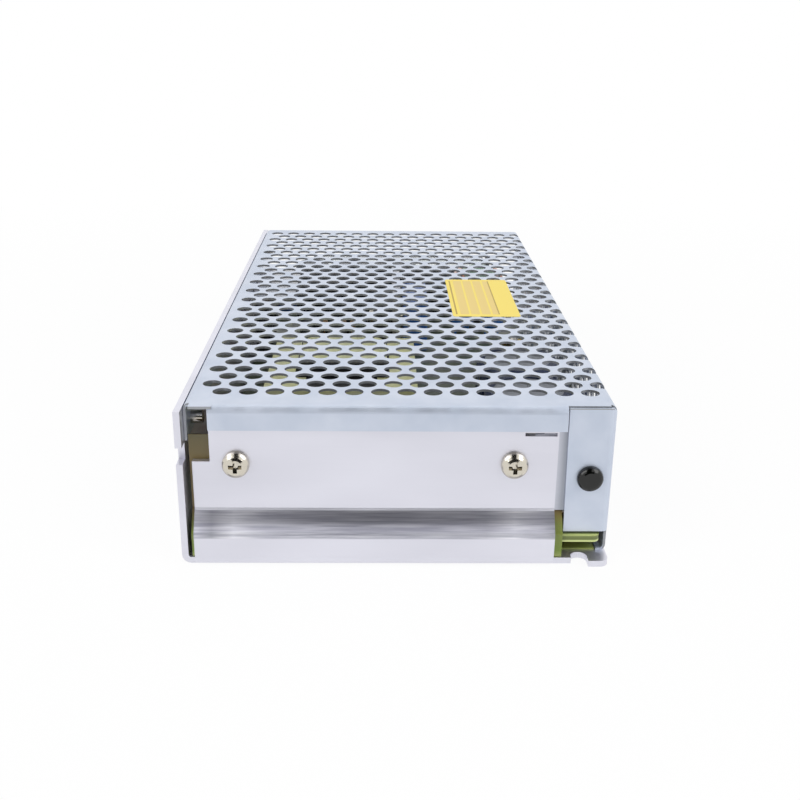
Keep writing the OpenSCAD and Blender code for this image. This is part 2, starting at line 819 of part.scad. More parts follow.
// Part of a diameter and length that lies along Y above the board on two wires
module axial(size) {
    d = size[0];
    l = size[1];
    z = d / 2 + 1;
    bury = 0.5;
    rod_y([0, -l / 2, z], d, l);
    for (s = [-1, 1]) {
        rod_z([0, s * (l / 2 + lead_end), 0], lead_d, z + lead_d / 2);
        rod_y([0, s > 0 ? l / 2 - bury : -l / 2 - lead_end - lead_d / 2, z],
              lead_d, bury + lead_end + lead_d / 2);
    }
}

module on_board(x, y) translate([x, y, board_top]) children();

// ---- Case ----

module chassis() color("gainsboro") difference() {
    union() {
        along_y(wall_y0, y_back)
            polygon(sheet([[x_left, wall_h], [x_left, 0], [x_right, 0]], chassis_bend, chassis_t));
        along_x(plate_x0, plate_x1)
            polygon(sheet([[plate_y, plate_top], [plate_y, joggle_top], [y_front, lip_h],
                           [y_front, 0], [wall_y0 + base_lap, 0]], chassis_bend, chassis_t));
        block([plate_x1 - over, y_front + relief_step, 0], [x_right, wall_y0 + base_lap, chassis_t]);
        block([x_right - relief_right, y_front, 0], [x_right, wall_y0 + base_lap, chassis_t]);
        block([plate_x1 - wing_lap, wing_y, wing_z], [wing_x1, wing_y + chassis_t, plate_top]);
    }
    // Notch at the end plate's upper left corner
    block([plate_x0 - over, plate_y - over, plate_notch_z], [notch_x, plate_in + over, case_h]);
    // Notch and round corner of the left wall
    block([x_left - over, wall_y0 - over, plate_notch_z],
          [wall_in + over, wall_y0 + wall_notch_d, plate_notch_z + wall_notch_h]);
    translate([0, y_back, wall_h]) wall_round();
    translate([x_right, y_front, 0]) base_round();
    translate([x_right - relief_right, y_front, 0]) relief_notch();
    // Relief slit above the wing
    block([slit_x0, plate_y - over, slit_z], [slit_x0 + slit_l, wing_y + chassis_t + over, slit_z + slit_h]);
    for (x = plate_screw_x) bore_y([x, plate_y, plate_screw_z], screw_d + 2 * screw_gap, chassis_t);
    bore_y([x_right - rivet_right, wing_y, rivet_z], screw_d + 4 * screw_gap, chassis_t);
    for (p = mount_at) bore_z([p.x, p.y, 0], mount_d, chassis_t);
    for (p = spacer_at) bore_z([p.x, p.y, 0], spacer_collar, chassis_t);
    for (s = [-1, 1]) bore_x([x_left, s * mount_pitch_y / 2, mount_side_z], mount_d, chassis_t);
    for (y = side_screw_y)
        translate([x_left, y, side_screw_z]) rotate([0, -90, 0]) countersink(chassis_t + over);
    for (y = sink_at)
        translate([x_left, y, sink_screw_z]) rotate([0, -90, 0]) countersink(chassis_t + over);
    for (y = ear_y)
        translate([ear_screw_x, y, 0]) rotate([180, 0, 0]) countersink(chassis_t + over);
}

// What is cut off the base's front right corner
module base_round() {
    r = base_corner_r;
    along_z(-over, chassis_t + over)
        polygon(concat([[over, -over], [over, r]], arc([-r, r], r, 0, -90), [[-r, -over]]));
}

// What is cut off the left wall's rear top corner
module wall_round() {
    r = wall_corner_r;
    along_x(x_left - over, wall_in + over)
        polygon(concat([[over, over], [-r, over]], arc([-r, -r], r, 90, 0), [[over, -r]]));
}

// Round-ended notch that frees the end of the lip's fold
module relief_notch() {
    r = relief_w / 2;
    along_z(-over, chassis_t + over)
        polygon(concat([[r, -over]], arc([0, relief_l - r], r, 0, 180, 2 * arc_steps), [[-r, -over]]));
}

module cover() color("lightsteelblue") difference() {
    union() {
        along_y(corner_y, cover_y1)
            polygon(sheet([[x_right - foot_w, chassis_t], [x_right, chassis_t], [x_right, case_h],
                           [cover_x0, case_h], [cover_x0, case_h - left_flange_h]],
                          cover_bend, cover_t));
        along_x(notch_x, flange_x1)
            polygon(sheet([[corner_y + over, case_h], [cover_y0, case_h],
                           [cover_y0, case_h - front_flange_h]], cover_bend, cover_t));
        block([cover_x0 + cover_r, cover_y0 + seam, case_h - cover_t],
              [notch_x + over, corner_y + over, case_h]);
        block([flange_x1 - over, panel_y0, case_h - cover_t],
              [x_right - cover_r, corner_y + over, case_h]);
        cover_tab();
        for (y = ear_y)
            block([x_right - ear_w, y - ear_l / 2, chassis_t],
                  [x_right - cover_r, y + ear_l / 2, chassis_t + cover_t]);
    }
    cover_holes();
    bore_y([x_right - rivet_right, tab_y, rivet_z], screw_d + 4 * screw_gap, cover_t);
    for (y = side_screw_y) bore_x([cover_x0, y, side_screw_z], screw_d + 2 * screw_play, cover_t);
    for (y = ear_y) bore_z([ear_screw_x, y, chassis_t], screw_d + 2 * screw_play, cover_t);
    // Window for the voltage selector
    translate([cover_in, selector_y, selector_mid_z])
        block([-over, -selector_window[0] / 2, -selector_window[1] / 2],
              [cover_t + over, selector_window[0] / 2, selector_window[1] / 2]);
}

// Tab folded round from the right wall onto the wing of the end plate
module cover_tab() intersection() {
    along_z(tab_z - over, case_h)
        polygon(sheet([[tab_x0 - over, tab_y], [x_right, tab_y], [x_right, corner_y + 2 * seam]],
                      cover_bend, cover_t));
    along_y(tab_y - over, corner_y + over)
        polygon([[tab_x0, tab_top], [x_right - tab_chamfer, tab_top],
                 [x_right + over, tab_top - tab_chamfer - over], [x_right + over, tab_z],
                 [tab_x0 + tab_taper, tab_z]]);
}

// Staggered ventilation holes in the top, round the fold and down the right wall
module cover_holes() {
    for (j = [0:rows - 1]) {
        y = cover_y0 + hole_front + j * row_pitch;
        odd = j % 2;
        shift = (1 - odd) * hole_pitch / 2;
        for (i = [0:columns - 2 + odd])
            rod_z([hole_x1 - shift - i * hole_pitch, y, case_h - hole_depth], hole_d, hole_depth + over);
        for (i = [0:wall_holes - 1]) {
            z = case_h - hole_top - hole_pitch / 2 * odd - i * hole_pitch;
            if (!in_window(y, z)) bore_x([cover_in, y, z], hole_d, cover_t);
        }
    }
}

// True where a wall hole would break into the selector's window
function in_window(y, z) =
    abs(y - selector_y) < selector_window[0] / 2 + hole_d / 2 + window_edge
    && abs(z - selector_mid_z) < selector_window[1] / 2 + hole_d / 2 + window_edge;

module label() color("khaki") {
    corner_r = 1;
    along_z(case_h, case_h + label_t)
        polygon(rounded(x_right - label_right - label_w, y_front + label_front,
                        x_right - label_right, y_front + label_front + label_l, corner_r));
}

module end_plate_screws() color("silver")
    for (x = plate_screw_x)
        translate([x, plate_y, plate_screw_z]) rotate([90, 0, 0])
            pan_screw(chassis_t + bar_t + screw_gap);

module cover_rivet() color("black")
    translate([x_right - rivet_right, tab_y, rivet_z]) rotate([90, 0, 0])
        rotate_extrude() polygon(rivet_profile());

// Snap rivet: domed head with a flat centre, shank and spread tail
function rivet_profile() =
    let (r = rivet_head_d / 2, h = rivet_head_h, shank = screw_d / 2 + screw_gap,
         grip = cover_t + chassis_t, spread = 0.8, tail = 2)
    concat([[0, -grip - tail], [shank - spread, -grip - tail], [shank + spread, -grip - spread],
            [shank + spread, -grip], [shank, -grip], [shank, 0], [r, 0]],
           [for (i = [0:arc_steps]) [r * (0.5 + 0.5 * cos(90 * i / arc_steps)),
                                     h * (0.3 + 0.7 * sin(90 * i / arc_steps))]], [[0, h]]);

module cover_side_screws() color("silver")
    for (y = side_screw_y)
        translate([x_left + screw_play, y, side_screw_z]) rotate([0, -90, 0]) flat_screw(side_screw_l);

module cover_foot_screws() color("silver")
    for (y = ear_y)
        translate([ear_screw_x, y, screw_play]) rotate([180, 0, 0])
            flat_screw(chassis_t + cover_t + tail_l);

module insulating_film() color("olive") difference() {
    union() {
        along_x(film_x0, flap_x1)
            polygon(sheet([[flap_y, film_top], [flap_y, joggle_top - film_turn],
                           [flap_low_y, lip_h - film_turn], [flap_low_y, chassis_t],
                           [film_y1, chassis_t]], film_gap, film_t));
        block([flap_x1 - over, flap_y + film_t, chassis_t], [film_x1, film_y1, film_z]);
    }
    block([bar_x[0] - film_cut, plate_in - over, min(bar_z[0], wing_z) - film_cut],
          [flap_x1 + over, plate_in + bar_t, case_h]);
    for (p = spacer_at) rod_z([p.x, p.y, 0], spacer_af + 2 * film_clear, film_z + over);
    for (p = mount_at) rod_z([p.x, p.y, 0], mount_d + 4 * film_clear, film_z + over);
    for (y = ear_y)
        block([x_right - ear_w - film_cut, y - ear_l / 2 - film_cut, 0],
              [film_x1 + over, y + ear_l / 2 + film_cut, film_z + over]);
}

// ---- Circuit board ----

module circuit_board() color("darkolivegreen") difference() {
    along_z(board_z0, board_top)
        polygon(rounded(board_x0, board_y0, board_x1, board_y1, board_r));
    for (p = spacer_at) bore_z([p.x, p.y, board_z0], screw_d + 2 * screw_gap, board_t);
}

// Clinch spacers: a collar in the base and a hexagon up to the board
module spacers() color("goldenrod")
    for (p = spacer_at) translate([p.x, p.y, 0]) difference() {
        union() {
            rod_z([0, 0, collar_floor], spacer_collar - 2 * screw_play, chassis_t);
            rod_z([0, 0, chassis_t], spacer_af / cos(30), spacer_h, $fn = 6);
        }
        rod_z([0, 0, spacer_floor], screw_d + 2 * screw_play, chassis_t + spacer_h);
    }

module board_screws() color("silver")
    for (p = spacer_at)
        translate([p.x, p.y, board_top]) pan_screw(board_t + spacer_h - 2 * screw_gap);

// ---- Terminals ----

module terminal_block() color("dimgray") difference() {
    union() {
        block([block_x0, block_y0, board_top], [block_x1, block_y1, block_top]);
        for (x = [block_x0, block_x1 - barrier_t])
            along_x(x, x + barrier_t) terminal_cheek();
    }
    for (x = way_x) {
        block([x - bay_w / 2, block_y1 - bay_l, bay_z], [x + bay_w / 2, block_y1 + over, block_top + over]);
        rod_z([x, way_y, bay_z - screw_well], screw_d + 2 * screw_gap, screw_well + over);
        // Slot behind the bay, over the strip's tail
        block([x - bay_w / 4, slot_y[0], block_top - slot_h], [x + bay_w / 4, slot_y[1], block_top + over]);
    }
    bore_x([block_x0, pivot_y, pivot_z], pivot_d + 2 * pivot_gap, block_w);
}

// Upright cheek that holds the hinged cover's pivot
module terminal_cheek() {
    translate([pivot_y, pivot_z]) circle(r = cheek_r);
    translate([pivot_y - cheek_r, block_top - over]) square([2 * cheek_r, pivot_z - block_top + over]);
}

module terminal_strips() color("silver")
    for (x = way_x) difference() {
        block([x - clamp_w / 2, block_y1 - bay_l + strip_gap, bay_z],
              [x + clamp_w / 2, block_y1 - strip_gap, bay_z + strip_t]);
        bore_z([x, way_y, bay_z], screw_d + 2 * screw_gap, strip_t);
    }

module terminal_clamps() color("silver") {
    half = clamp_w / 2;
    for (x = way_x) translate([x, way_y, bay_z + strip_t]) difference() {
        along_x(-half, half)
            polygon([[-half, clamp_lip], [2 * clamp_lip - half, 0], [half - 2 * clamp_lip, 0],
                     [half, clamp_lip], [half, clamp_t], [-half, clamp_t]]);
        bore_z([0, 0, 0], screw_d + 2 * screw_gap, clamp_t);
    }
}

module terminal_screws() color("silver")
    for (x = way_x)
        translate([x, way_y, bay_z + strip_t + clamp_t]) pan_screw(strip_t + clamp_t + screw_well - over);

module terminal_cover() color("lightblue") {
    difference() {
        union() {
            rod_x([lid_x0, pivot_y, pivot_z], 2 * barrel_r, lid_x1 - lid_x0);
            block([lid_x0, pivot_y, lid_z], [lid_x1, lid_y1, lid_z + lid_t]);
            block([lid_x0, lid_y1 - lid_t, lid_z - lid_skirt], [lid_x1, lid_y1, lid_z + lid_t]);
        }
        // Finger scoop in the middle of the skirt
        bore_y([(lid_x0 + lid_x1) / 2, lid_y1 - lid_t, lid_z - lid_skirt + scoop_h - scoop_d / 2],
               scoop_d, lid_t);
    }
    for (x = [lid_x0 - pivot_l, lid_x1 - pivot_root])
        rod_x([x, pivot_y, pivot_z], pivot_d, pivot_l + pivot_root);
}

// ---- Controls ----

module trimmer_body() color("royalblue") on_board(trimmer_x, trimmer_y) {
    corner_r = 0.8;
    difference() {
        along_z(0, trimmer_h) polygon(pad(trimmer_w, trimmer_w, corner_r));
        rod_z([0, 0, trimmer_h - rotor_h / 2], rotor_d + 2 * rotor_gap, rotor_h);
        rod_z([0, 0, trimmer_h - rotor_stem_l], rotor_stem_d + 2 * screw_play, rotor_stem_l + over);
    }
}

module trimmer_rotor() color("white")
    on_board(trimmer_x, trimmer_y) translate([0, 0, screw_play]) difference() {
        union() {
            rod_z([0, 0, trimmer_h - rotor_h / 2], rotor_d, rotor_h);
            rod_z([0, 0, trimmer_h - rotor_stem_l], rotor_stem_d, rotor_stem_l);
        }
        block([-rotor_d, -rotor_slot / 2, trimmer_h], [rotor_d, rotor_slot / 2, trimmer_h + rotor_h]);
        // Short arm that points where the adjuster stands
        block([-rotor_slot / 2, 0, trimmer_h], [rotor_slot / 2, rotor_d / 3, trimmer_h + rotor_h]);
    }

module output_led() color("limegreen") on_board(led_x, led_y) {
    r = led_d / 2;
    rim_z = [1, 2];
    wire = 0.6;
    rotate_extrude()
        polygon(concat([[0, rim_z[0]], [r + led_rim, rim_z[0]], [r + led_rim, rim_z[1]], [r, rim_z[1]]],
                       arc([0, led_h], r, 0, 90)));
    for (s = [-1, 1]) rod_z([0, s * r / 2, 0], wire, rim_z[0] + wire);
}

module selector_body() color("dimgray") difference() {
    slot_l = selector_nub_l + selector_travel + 2 * selector_play;
    slot_w = selector_nub_h + 2 * selector_play;
    block([selector_x1 - selector_w, selector_y - selector_l / 2, board_top],
          [selector_x1, selector_y + selector_l / 2, board_top + selector_h]);
    translate([selector_x1 - selector_lip, selector_y, selector_mid_z]) {
        block([-selector_pocket_d, -selector_pocket_l / 2, -selector_pocket_h / 2],
              [0, selector_pocket_l / 2, selector_pocket_h / 2]);
        block([-over, -slot_l / 2, -slot_w / 2], [selector_lip + over, slot_l / 2, slot_w / 2]);
    }
}

// The slider rests at its lower stop, towards the joggled end
module selector_slider() color("firebrick") {
    base_h = selector_pocket_h - 2 * selector_play;
    translate([selector_x1 - selector_lip, selector_y - selector_travel / 2, selector_mid_z]) difference() {
        union() {
            block([-selector_play - selector_base_t, -selector_base_l / 2, -base_h / 2],
                  [-selector_play, selector_base_l / 2, base_h / 2]);
            block([-over, -selector_nub_l / 2, -selector_nub_h / 2],
                  [selector_lip + selector_nub_out, selector_nub_l / 2, selector_nub_h / 2]);
        }
        block([selector_lip - selector_nub_out / 3, -selector_slit / 2, -selector_nub_h],
              [selector_lip + selector_nub_out + over, selector_slit / 2, selector_nub_h]);
    }
}

// ---- Power parts at the joggled end ----

module heat_bar() color("silver") difference() {
    block([bar_x[0], plate_in, bar_z[0]], [bar_x[1], plate_in + bar_t, bar_z[1]]);
    for (x = plate_screw_x) bore_y([x, plate_in, plate_screw_z], screw_d + 2 * screw_play, bar_t);
    for (x = tr_at) bore_y([x, plate_in, tr_screw_z], screw_d + 2 * screw_play, bar_t);
}

module transistor_pads() color("lightgray")
    for (x = tr_at) difference() {
        block([x - tr_w / 2 - pad_edge, plate_in + bar_t, tr_z - pad_edge],
              [x + tr_w / 2 + pad_edge, tr_y, min(tr_z + tr_h + pad_edge, bar_z[1])]);
        bore_y([x, plate_in + bar_t, tr_screw_z], tr_hole_d, pad_t);
    }

module power_transistors() color("dimgray")
    for (x = tr_at) translate([x, tr_y, tr_z]) transistor(tr_z - board_top);

module transistor_screws() color("silver")
    for (x = tr_at)
        translate([x, tr_y + tr_tab_t, tr_screw_z]) rotate([-90, 0, 0])
            pan_screw(tr_tab_t + pad_t + bar_t - screw_gap, hh = tr_head_h, hd = tr_head_d);

// ---- Main transformer ----

module transformer_core() color("darkslategray") difference() {
    along_z(core_z, core_z + core_h)
        polygon(rounded(core_x[0], core_y[0], core_x[1], core_y[1], core_r));
    for (s = [-1, 1])
        translate([core_mid_x + s * (mid_leg_w + window_w) / 2, 0, core_z])
            block([-window_w / 2, core_y[0] + yoke_l, -over],
                  [window_w / 2, core_y[1] - yoke_l, core_h + over]);
}

// Rectangle round the middle leg, grown outwards by g
module leg_ring(g) {
    square([mid_leg_w + 2 * g, core_h + 2 * g], center = true);
}

module transformer_bobbin() color("black") {
    translate([core_mid_x, 0, core_z + core_h / 2]) difference() {
        union() {
            along_y(coil_y[0], coil_y[1]) leg_ring(leg_play + tube_t);
            for (y = [coil_y[0], coil_y[1] - flange_t])
                along_y(y, y + flange_t) square([coil_w, winding_h], center = true);
        }
        along_y(coil_y[0] - over, coil_y[1] + over) leg_ring(leg_play);
    }
    // Rails under the yokes that hold the pins
    for (y = [coil_y[0] - pin_rail, coil_y[1] - flange_t])
        block([core_mid_x - coil_w / 2, y, board_top],
              [core_mid_x + coil_w / 2, y + pin_rail + flange_t, core_z - leg_play]);
}

module transformer_winding() color("khaki") translate([core_mid_x, 0, core_z + core_h / 2]) difference() {
    along_y(coil_y[0] + flange_t, coil_y[1] - flange_t) polygon(pad(coil_w, winding_h, winding_r));
    along_y(coil_y[0], coil_y[1]) leg_ring(leg_play + tube_t);
}

// Tape round the core's sides and over its outer legs
module transformer_tape() color("khaki") {
    z0 = core_z + tape_low;
    z1 = core_z + core_h;
    difference() {
        block([core_x[0] - tape_t, core_y[0] - tape_t, z0], [core_x[1] + tape_t, core_y[1] + tape_t, z1]);
        along_z(z0 - over, z1 + over)
            polygon(rounded(core_x[0], core_y[0], core_x[1], core_y[1], core_r));
    }
    strip_w = leg_w - tape_gap;
    end_l = yoke_l - 2 * tape_gap;
    for (m = [0, 1]) translate([core_mid_x, core_mid_y, z1]) mirror([m, 0, 0]) {
        block([core_w / 2 - strip_w, -core_l / 2 - tape_t, 0],
              [core_w / 2 + tape_t, core_l / 2 + tape_t, tape_t]);
        for (n = [0, 1]) mirror([0, n, 0])
            block([core_w / 2 - leg_w - tape_end, core_l / 2 - end_l, 0],
                  [core_w / 2 - strip_w + over, core_l / 2 + tape_t, tape_t]);
    }
}

// ---- Capacitors ----

module input_capacitor_cans() color("silver")
    for (y = input_y) on_board(input_x, y) can(input_cap_d, input_cap_h);

module input_capacitor_sleeves() color("midnightblue")
    for (y = input_y) on_board(input_x, y) can_sleeve(input_cap_d, input_cap_h);

module output_capacitor_cans() color("silver")
    for (x = output_x) on_board(x, output_y) can(output_cap_d, output_cap_h);

module output_capacitor_sleeves() color("darkslategray")
    for (x = output_x) on_board(x, output_y) can_sleeve(output_cap_d, output_cap_h);

module line_capacitor() color("steelblue")
    along_z(board_top, board_top + blue_h)
        polygon(rounded(blue_x, blue_y, blue_x + blue_w, blue_y + blue_l, blue_r));

module film_capacitors() color("saddlebrown") {
    corner_r = 1.2;
    for (y = film_cap_at)
        on_board(film_cap_x, y) along_z(0, film_cap[2]) polygon(pad(film_cap[0], film_cap[1], corner_r));
    on_board(plate_cap_at.x, plate_cap_at.y)
        along_z(0, plate_cap[2]) polygon(pad(plate_cap[0], plate_cap[1], corner_r));
}

module safety_capacitors() color("royalblue")
    for (s = [-1, 1])
        on_board(line_x - column_step + s * safety_pitch / 2, line_y - safety_back) disc(safety_d, safety_t);

module small_capacitors() color("black") {
    bevel = 0.5;
    for (i = [0:3]) on_board(small_x, small_y0 + i * small_pitch)
        rotate_extrude()
            polygon([[0, 0], [small_d / 2, 0], [small_d / 2, small_h - bevel],
                     [small_d / 2 - bevel, small_h], [0, small_h]]);
}

module thermistor() color("black") on_board(column_x1 - disc_d / 2 - column_step, disc_y)
    disc(disc_d, disc_t);

// ---- Wound parts ----

module driver_core() color("darkslategray") on_board(driver_x, driver_y) difference() {
    block([-driver_w / 2, -driver_core_l / 2, driver_core_z], [driver_w / 2, driver_core_l / 2, driver_h]);
    for (s = [-1, 1]) translate([s * (driver_mid + driver_window) / 2, 0, 0])
        block([-driver_window / 2, -driver_core_l, driver_core_z + driver_leg],
              [driver_window / 2, driver_core_l, driver_h - driver_leg]);
}

// Pin blocks on both sides of the core, each with a rim that keeps the winding in place
module driver_bobbin() color("black") on_board(driver_x, driver_y)
    for (m = [0, 1]) mirror([0, m, 0]) {
        block([column_step - driver_w / 2, driver_core_l / 2 + driver_play, 0],
              [driver_w / 2 - column_step, driver_l / 2, driver_z[0] - driver_play]);
        block([2 * column_step - driver_w / 2, driver_l / 2, 0],
              [driver_w / 2 - 2 * column_step, driver_l / 2 + driver_rim, driver_z[1]]);
    }

module driver_winding() color("khaki") on_board(driver_x, driver_y) {
    corner_r = 1.6;
    w = driver_mid + 2 * driver_window - 2 * driver_play;
    half = [driver_mid / 2 + driver_play, driver_core_l / 2 + driver_play];
    difference() {
        along_z(driver_z[0], driver_z[1]) polygon(pad(w, driver_l, corner_r));
        block([-half.x, -half.y, 0], [half.x, half.y, driver_h]);
    }
}

// Section of a ring with rounded corners, grown outwards by g, that stands on z = 0
function ring_section(od, bore, h, g) =
    rounded(bore / 2 - g, -g, od / 2 + g, h + g, wire_d * 2 / 3);

module ring(od, bore, h) rotate_extrude() polygon(ring_section(od, bore, h, 0));

// Wire wound round a ring as turns laid side by side: a close-fitting channel section
module wound(od, bore, h, a0, a1)
    rotate([0, 0, a0]) rotate_extrude(angle = a1 - a0) difference() {
        polygon(ring_section(od, bore, h, wire_d));
        polygon(ring_section(od, bore, h, screw_play));
    }

module output_choke_core() color("lightyellow")
    on_board(choke_x, choke_y) translate([0, 0, wire_d + choke_lift])
        ring(choke_od - 2 * wire_d, choke_bore, choke_h);

module output_choke_winding() color("peru")
    on_board(choke_x, choke_y) translate([0, 0, wire_d + choke_lift])
        wound(choke_od - 2 * wire_d, choke_bore, choke_h, 180 - choke_part / 2, 180 + choke_part / 2);

module line_choke_core() color("mediumseagreen")
    translate([line_x, line_y + line_l / 2, line_z]) rotate([90, 0, 0])
        ring(line_od - 2 * wire_d, line_bore, line_l);

module line_choke_windings() color("peru")
    translate([line_x, line_y + line_l / 2, line_z]) rotate([90, 0, 0])
        for (a = [0, 180])
            wound(line_od - 2 * wire_d, line_bore, line_l, a - line_part / 2, a + line_part / 2);

module line_choke_seat() color("black")
    on_board(line_x, line_y) block([-seat_w / 2, -line_l / 2, 0], [seat_w / 2, line_l / 2, seat_h]);

// ---- Heat sinks ----

module rectifier_heatsink() color("silver") difference() {
    along_y(sink_y[0], sink_y[1])
        polygon(sheet([[wall_in + sink_w, sink_z[1]], [wall_in, sink_z[1]], [wall_in, sink_z[0]]],
                      sink_r, sink_t));
    for (y = sink_at) bore_x([wall_in, y, sink_screw_z], screw_d + 2 * screw_gap, sink_t);
}

module output_rectifiers() color("dimgray")
    for (y = sink_at)
        translate([wall_in + sink_t, y, sink_screw_z - tr_hole_z]) rotate([0, 0, -90])
            transistor(sink_screw_z - tr_hole_z - board_top);

module heatsink_screws() color("silver")
    for (y = sink_at)
        translate([x_left + screw_play, y, sink_screw_z]) rotate([0, -90, 0])
            flat_screw(chassis_t + sink_t + tr_tab_t + tail_l);

module bridge_heatsink() color("silver") difference() {
    block([bridge_plate_x[0], bridge_plate_y[0], board_top],
          [bridge_plate_x[1], bridge_plate_y[1], board_top + bridge_plate_h]);
    bore_x([bridge_plate_x[0], bridge_mid_y, bridge_z + bridge_h / 2], screw_d + 2 * screw_gap,
           bridge_plate_t);
}

module bridge_rectifier() color("dimgray") translate([bridge_x0, bridge_mid_y, 0]) difference() {
    union() {
        block([0, -bridge_l / 2, bridge_z], [bridge_w, bridge_l / 2, bridge_z + bridge_h]);
        for (i = [-1.5:1:1.5])
            rod_z([bridge_w / 2, i * bridge_leg_pitch, board_top], bridge_leg, bridge_lift + over);
    }
    bore_x([0, 0, bridge_z + bridge_h / 2], screw_d + 2 * screw_gap, bridge_w);
}

module bridge_screw() color("silver")
    translate([bridge_x0, bridge_mid_y, bridge_z + bridge_h / 2]) rotate([0, -90, 0])
        pan_screw(bridge_w + bridge_plate_t + over);

// ---- Fuse and small parts ----

// Turns a shape that is centred along Z to lie along Y at the fuse's height
module at_fuse(s = 0, l = 0)
    translate([fuse_x, fuse_y + s * (fuse_l - l) / 2, fuse_z]) rotate([90, 0, 0]) children();

module fuse_tube() color("azure") at_fuse() {
    bore_l = fuse_l - 2 * fuse_wall;
    od = fuse_d - 2 * fuse_cap_t - screw_play;
    difference() {
        cylinder(d = od, h = fuse_l, center = true);
        cylinder(d = od - 2 * fuse_wall, h = bore_l, center = true);
    }
}

module fuse_caps() color("silver")
    for (s = [-1, 1]) at_fuse(s, fuse_cap_l) rotate([s < 0 ? 0 : 180, 0, 0]) difference() {
        translate([0, 0, -fuse_cap_l / 2]) cylinder(d = fuse_d, h = fuse_cap_l + fuse_over);
        translate([0, 0, -fuse_cap_l / 2 - over])
            cylinder(d = fuse_d - 2 * fuse_cap_t, h = fuse_cap_l + over);
    }

module fuse_clips() color("goldenrod")
    for (s = [-1, 1])
        translate([fuse_x, fuse_y + s * (fuse_l - fuse_cap_l) / 2, board_top]) difference() {
            block([-fuse_d / 2 - clip_t, -clip_l / 2, 0],
                  [fuse_d / 2 + clip_t, clip_l / 2, fuse_lift + clip_top]);
            bore_y([0, -clip_l / 2, fuse_lift], fuse_d + 2 * clip_play, clip_l);
            block([-fuse_d / 2, -clip_l, clip_t], [fuse_d / 2, clip_l, fuse_lift]);
            block([-clip_bed, -clip_l, clip_t], [clip_bed, clip_l, fuse_z]);
        }

module control_chip() color("dimgray") on_board(chip_x, chip_y) {
    pin_x = (chip_span - pin_w) / 2;
    block([-chip_w / 2, -chip_l / 2, chip_z[0]], [chip_w / 2, chip_l / 2, chip_z[1]]);
    for (s = [-1, 1], i = [-3.5:1:3.5])
        translate([s * pin_x, i * pin_pitch, 0])
            block([-pin_w / 2, -pin_t / 2, 0], [pin_w / 2, pin_t / 2, pin_h]);
}

module resistors() color("tan") {
    for (i = [-1.5:1:1.5]) on_board(chip_x + i * chip_row_pitch, chip_row_y) axial(chip_row);
    mid_row() on_board(0, load_row_y) axial(load_resistor);
}

module diodes() color("black") mid_row() on_board(0, diode_row_y) axial(diode_size);

// As many places side by side as fit between the transformer and the input capacitors
module mid_row()
    for (i = [0:mid_row_n - 1])
        translate([mid_row_x + (i - (mid_row_n - 1) / 2) * mid_row_pitch, 0, 0]) children();

chassis();
cover();
label();
end_plate_screws();
cover_rivet();
cover_side_screws();
cover_foot_screws();
insulating_film();
circuit_board();
spacers();
board_screws();
terminal_block();
terminal_strips();
terminal_clamps();
terminal_screws();
terminal_cover();
trimmer_body();
trimmer_rotor();
output_led();
selector_body();
selector_slider();
heat_bar();
transistor_pads();
power_transistors();
transistor_screws();
transformer_core();
transformer_bobbin();
transformer_winding();
transformer_tape();
input_capacitor_cans();
input_capacitor_sleeves();
output_capacitor_cans();
output_capacitor_sleeves();
driver_core();
driver_bobbin();
driver_winding();
output_choke_core();
output_choke_winding();
line_choke_core();
line_choke_windings();
line_choke_seat();
rectifier_heatsink();
output_rectifiers();
heatsink_screws();
bridge_heatsink();
bridge_rectifier();
bridge_screw();
line_capacitor();
film_capacitors();
safety_capacitors();
thermistor();
fuse_tube();
fuse_caps();
fuse_clips();
control_chip();
small_capacitors();
resistors();
diodes();
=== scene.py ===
"""Finishes, printed label, wound wire, lights and camera for the mesh case power supply."""

import math

import bmesh
import bpy
from mathutils import Matrix, Vector


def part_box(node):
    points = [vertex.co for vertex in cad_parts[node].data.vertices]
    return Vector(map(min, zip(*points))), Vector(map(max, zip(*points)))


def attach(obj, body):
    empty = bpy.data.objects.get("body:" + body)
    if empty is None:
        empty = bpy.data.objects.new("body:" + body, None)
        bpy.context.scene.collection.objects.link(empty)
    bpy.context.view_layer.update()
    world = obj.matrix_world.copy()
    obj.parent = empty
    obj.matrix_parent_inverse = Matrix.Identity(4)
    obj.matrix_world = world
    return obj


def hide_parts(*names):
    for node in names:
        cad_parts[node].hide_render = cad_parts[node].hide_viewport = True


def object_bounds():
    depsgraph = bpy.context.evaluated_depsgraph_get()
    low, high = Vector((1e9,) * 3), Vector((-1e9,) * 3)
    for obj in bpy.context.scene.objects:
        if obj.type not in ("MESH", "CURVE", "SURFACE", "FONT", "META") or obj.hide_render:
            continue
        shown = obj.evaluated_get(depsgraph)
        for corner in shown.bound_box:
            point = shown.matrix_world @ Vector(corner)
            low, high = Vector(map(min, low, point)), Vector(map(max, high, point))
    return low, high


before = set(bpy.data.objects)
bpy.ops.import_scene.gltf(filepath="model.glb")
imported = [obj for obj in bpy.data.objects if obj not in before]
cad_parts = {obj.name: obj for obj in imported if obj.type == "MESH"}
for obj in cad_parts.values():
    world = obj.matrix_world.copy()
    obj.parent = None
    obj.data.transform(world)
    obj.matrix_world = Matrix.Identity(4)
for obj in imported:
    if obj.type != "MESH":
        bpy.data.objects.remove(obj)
solids_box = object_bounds()
MM = 0.001


# ---- Small helpers ----

def linear(hex_colour):
    """An sRGB hex colour as the linear values that a shader takes."""
    channels = [int(hex_colour[i:i + 2], 16) / 255 for i in (0, 2, 4)]
    return [c / 12.92 if c <= 0.04045 else ((c + 0.055) / 1.055) ** 2.4 for c in channels] + [1.0]


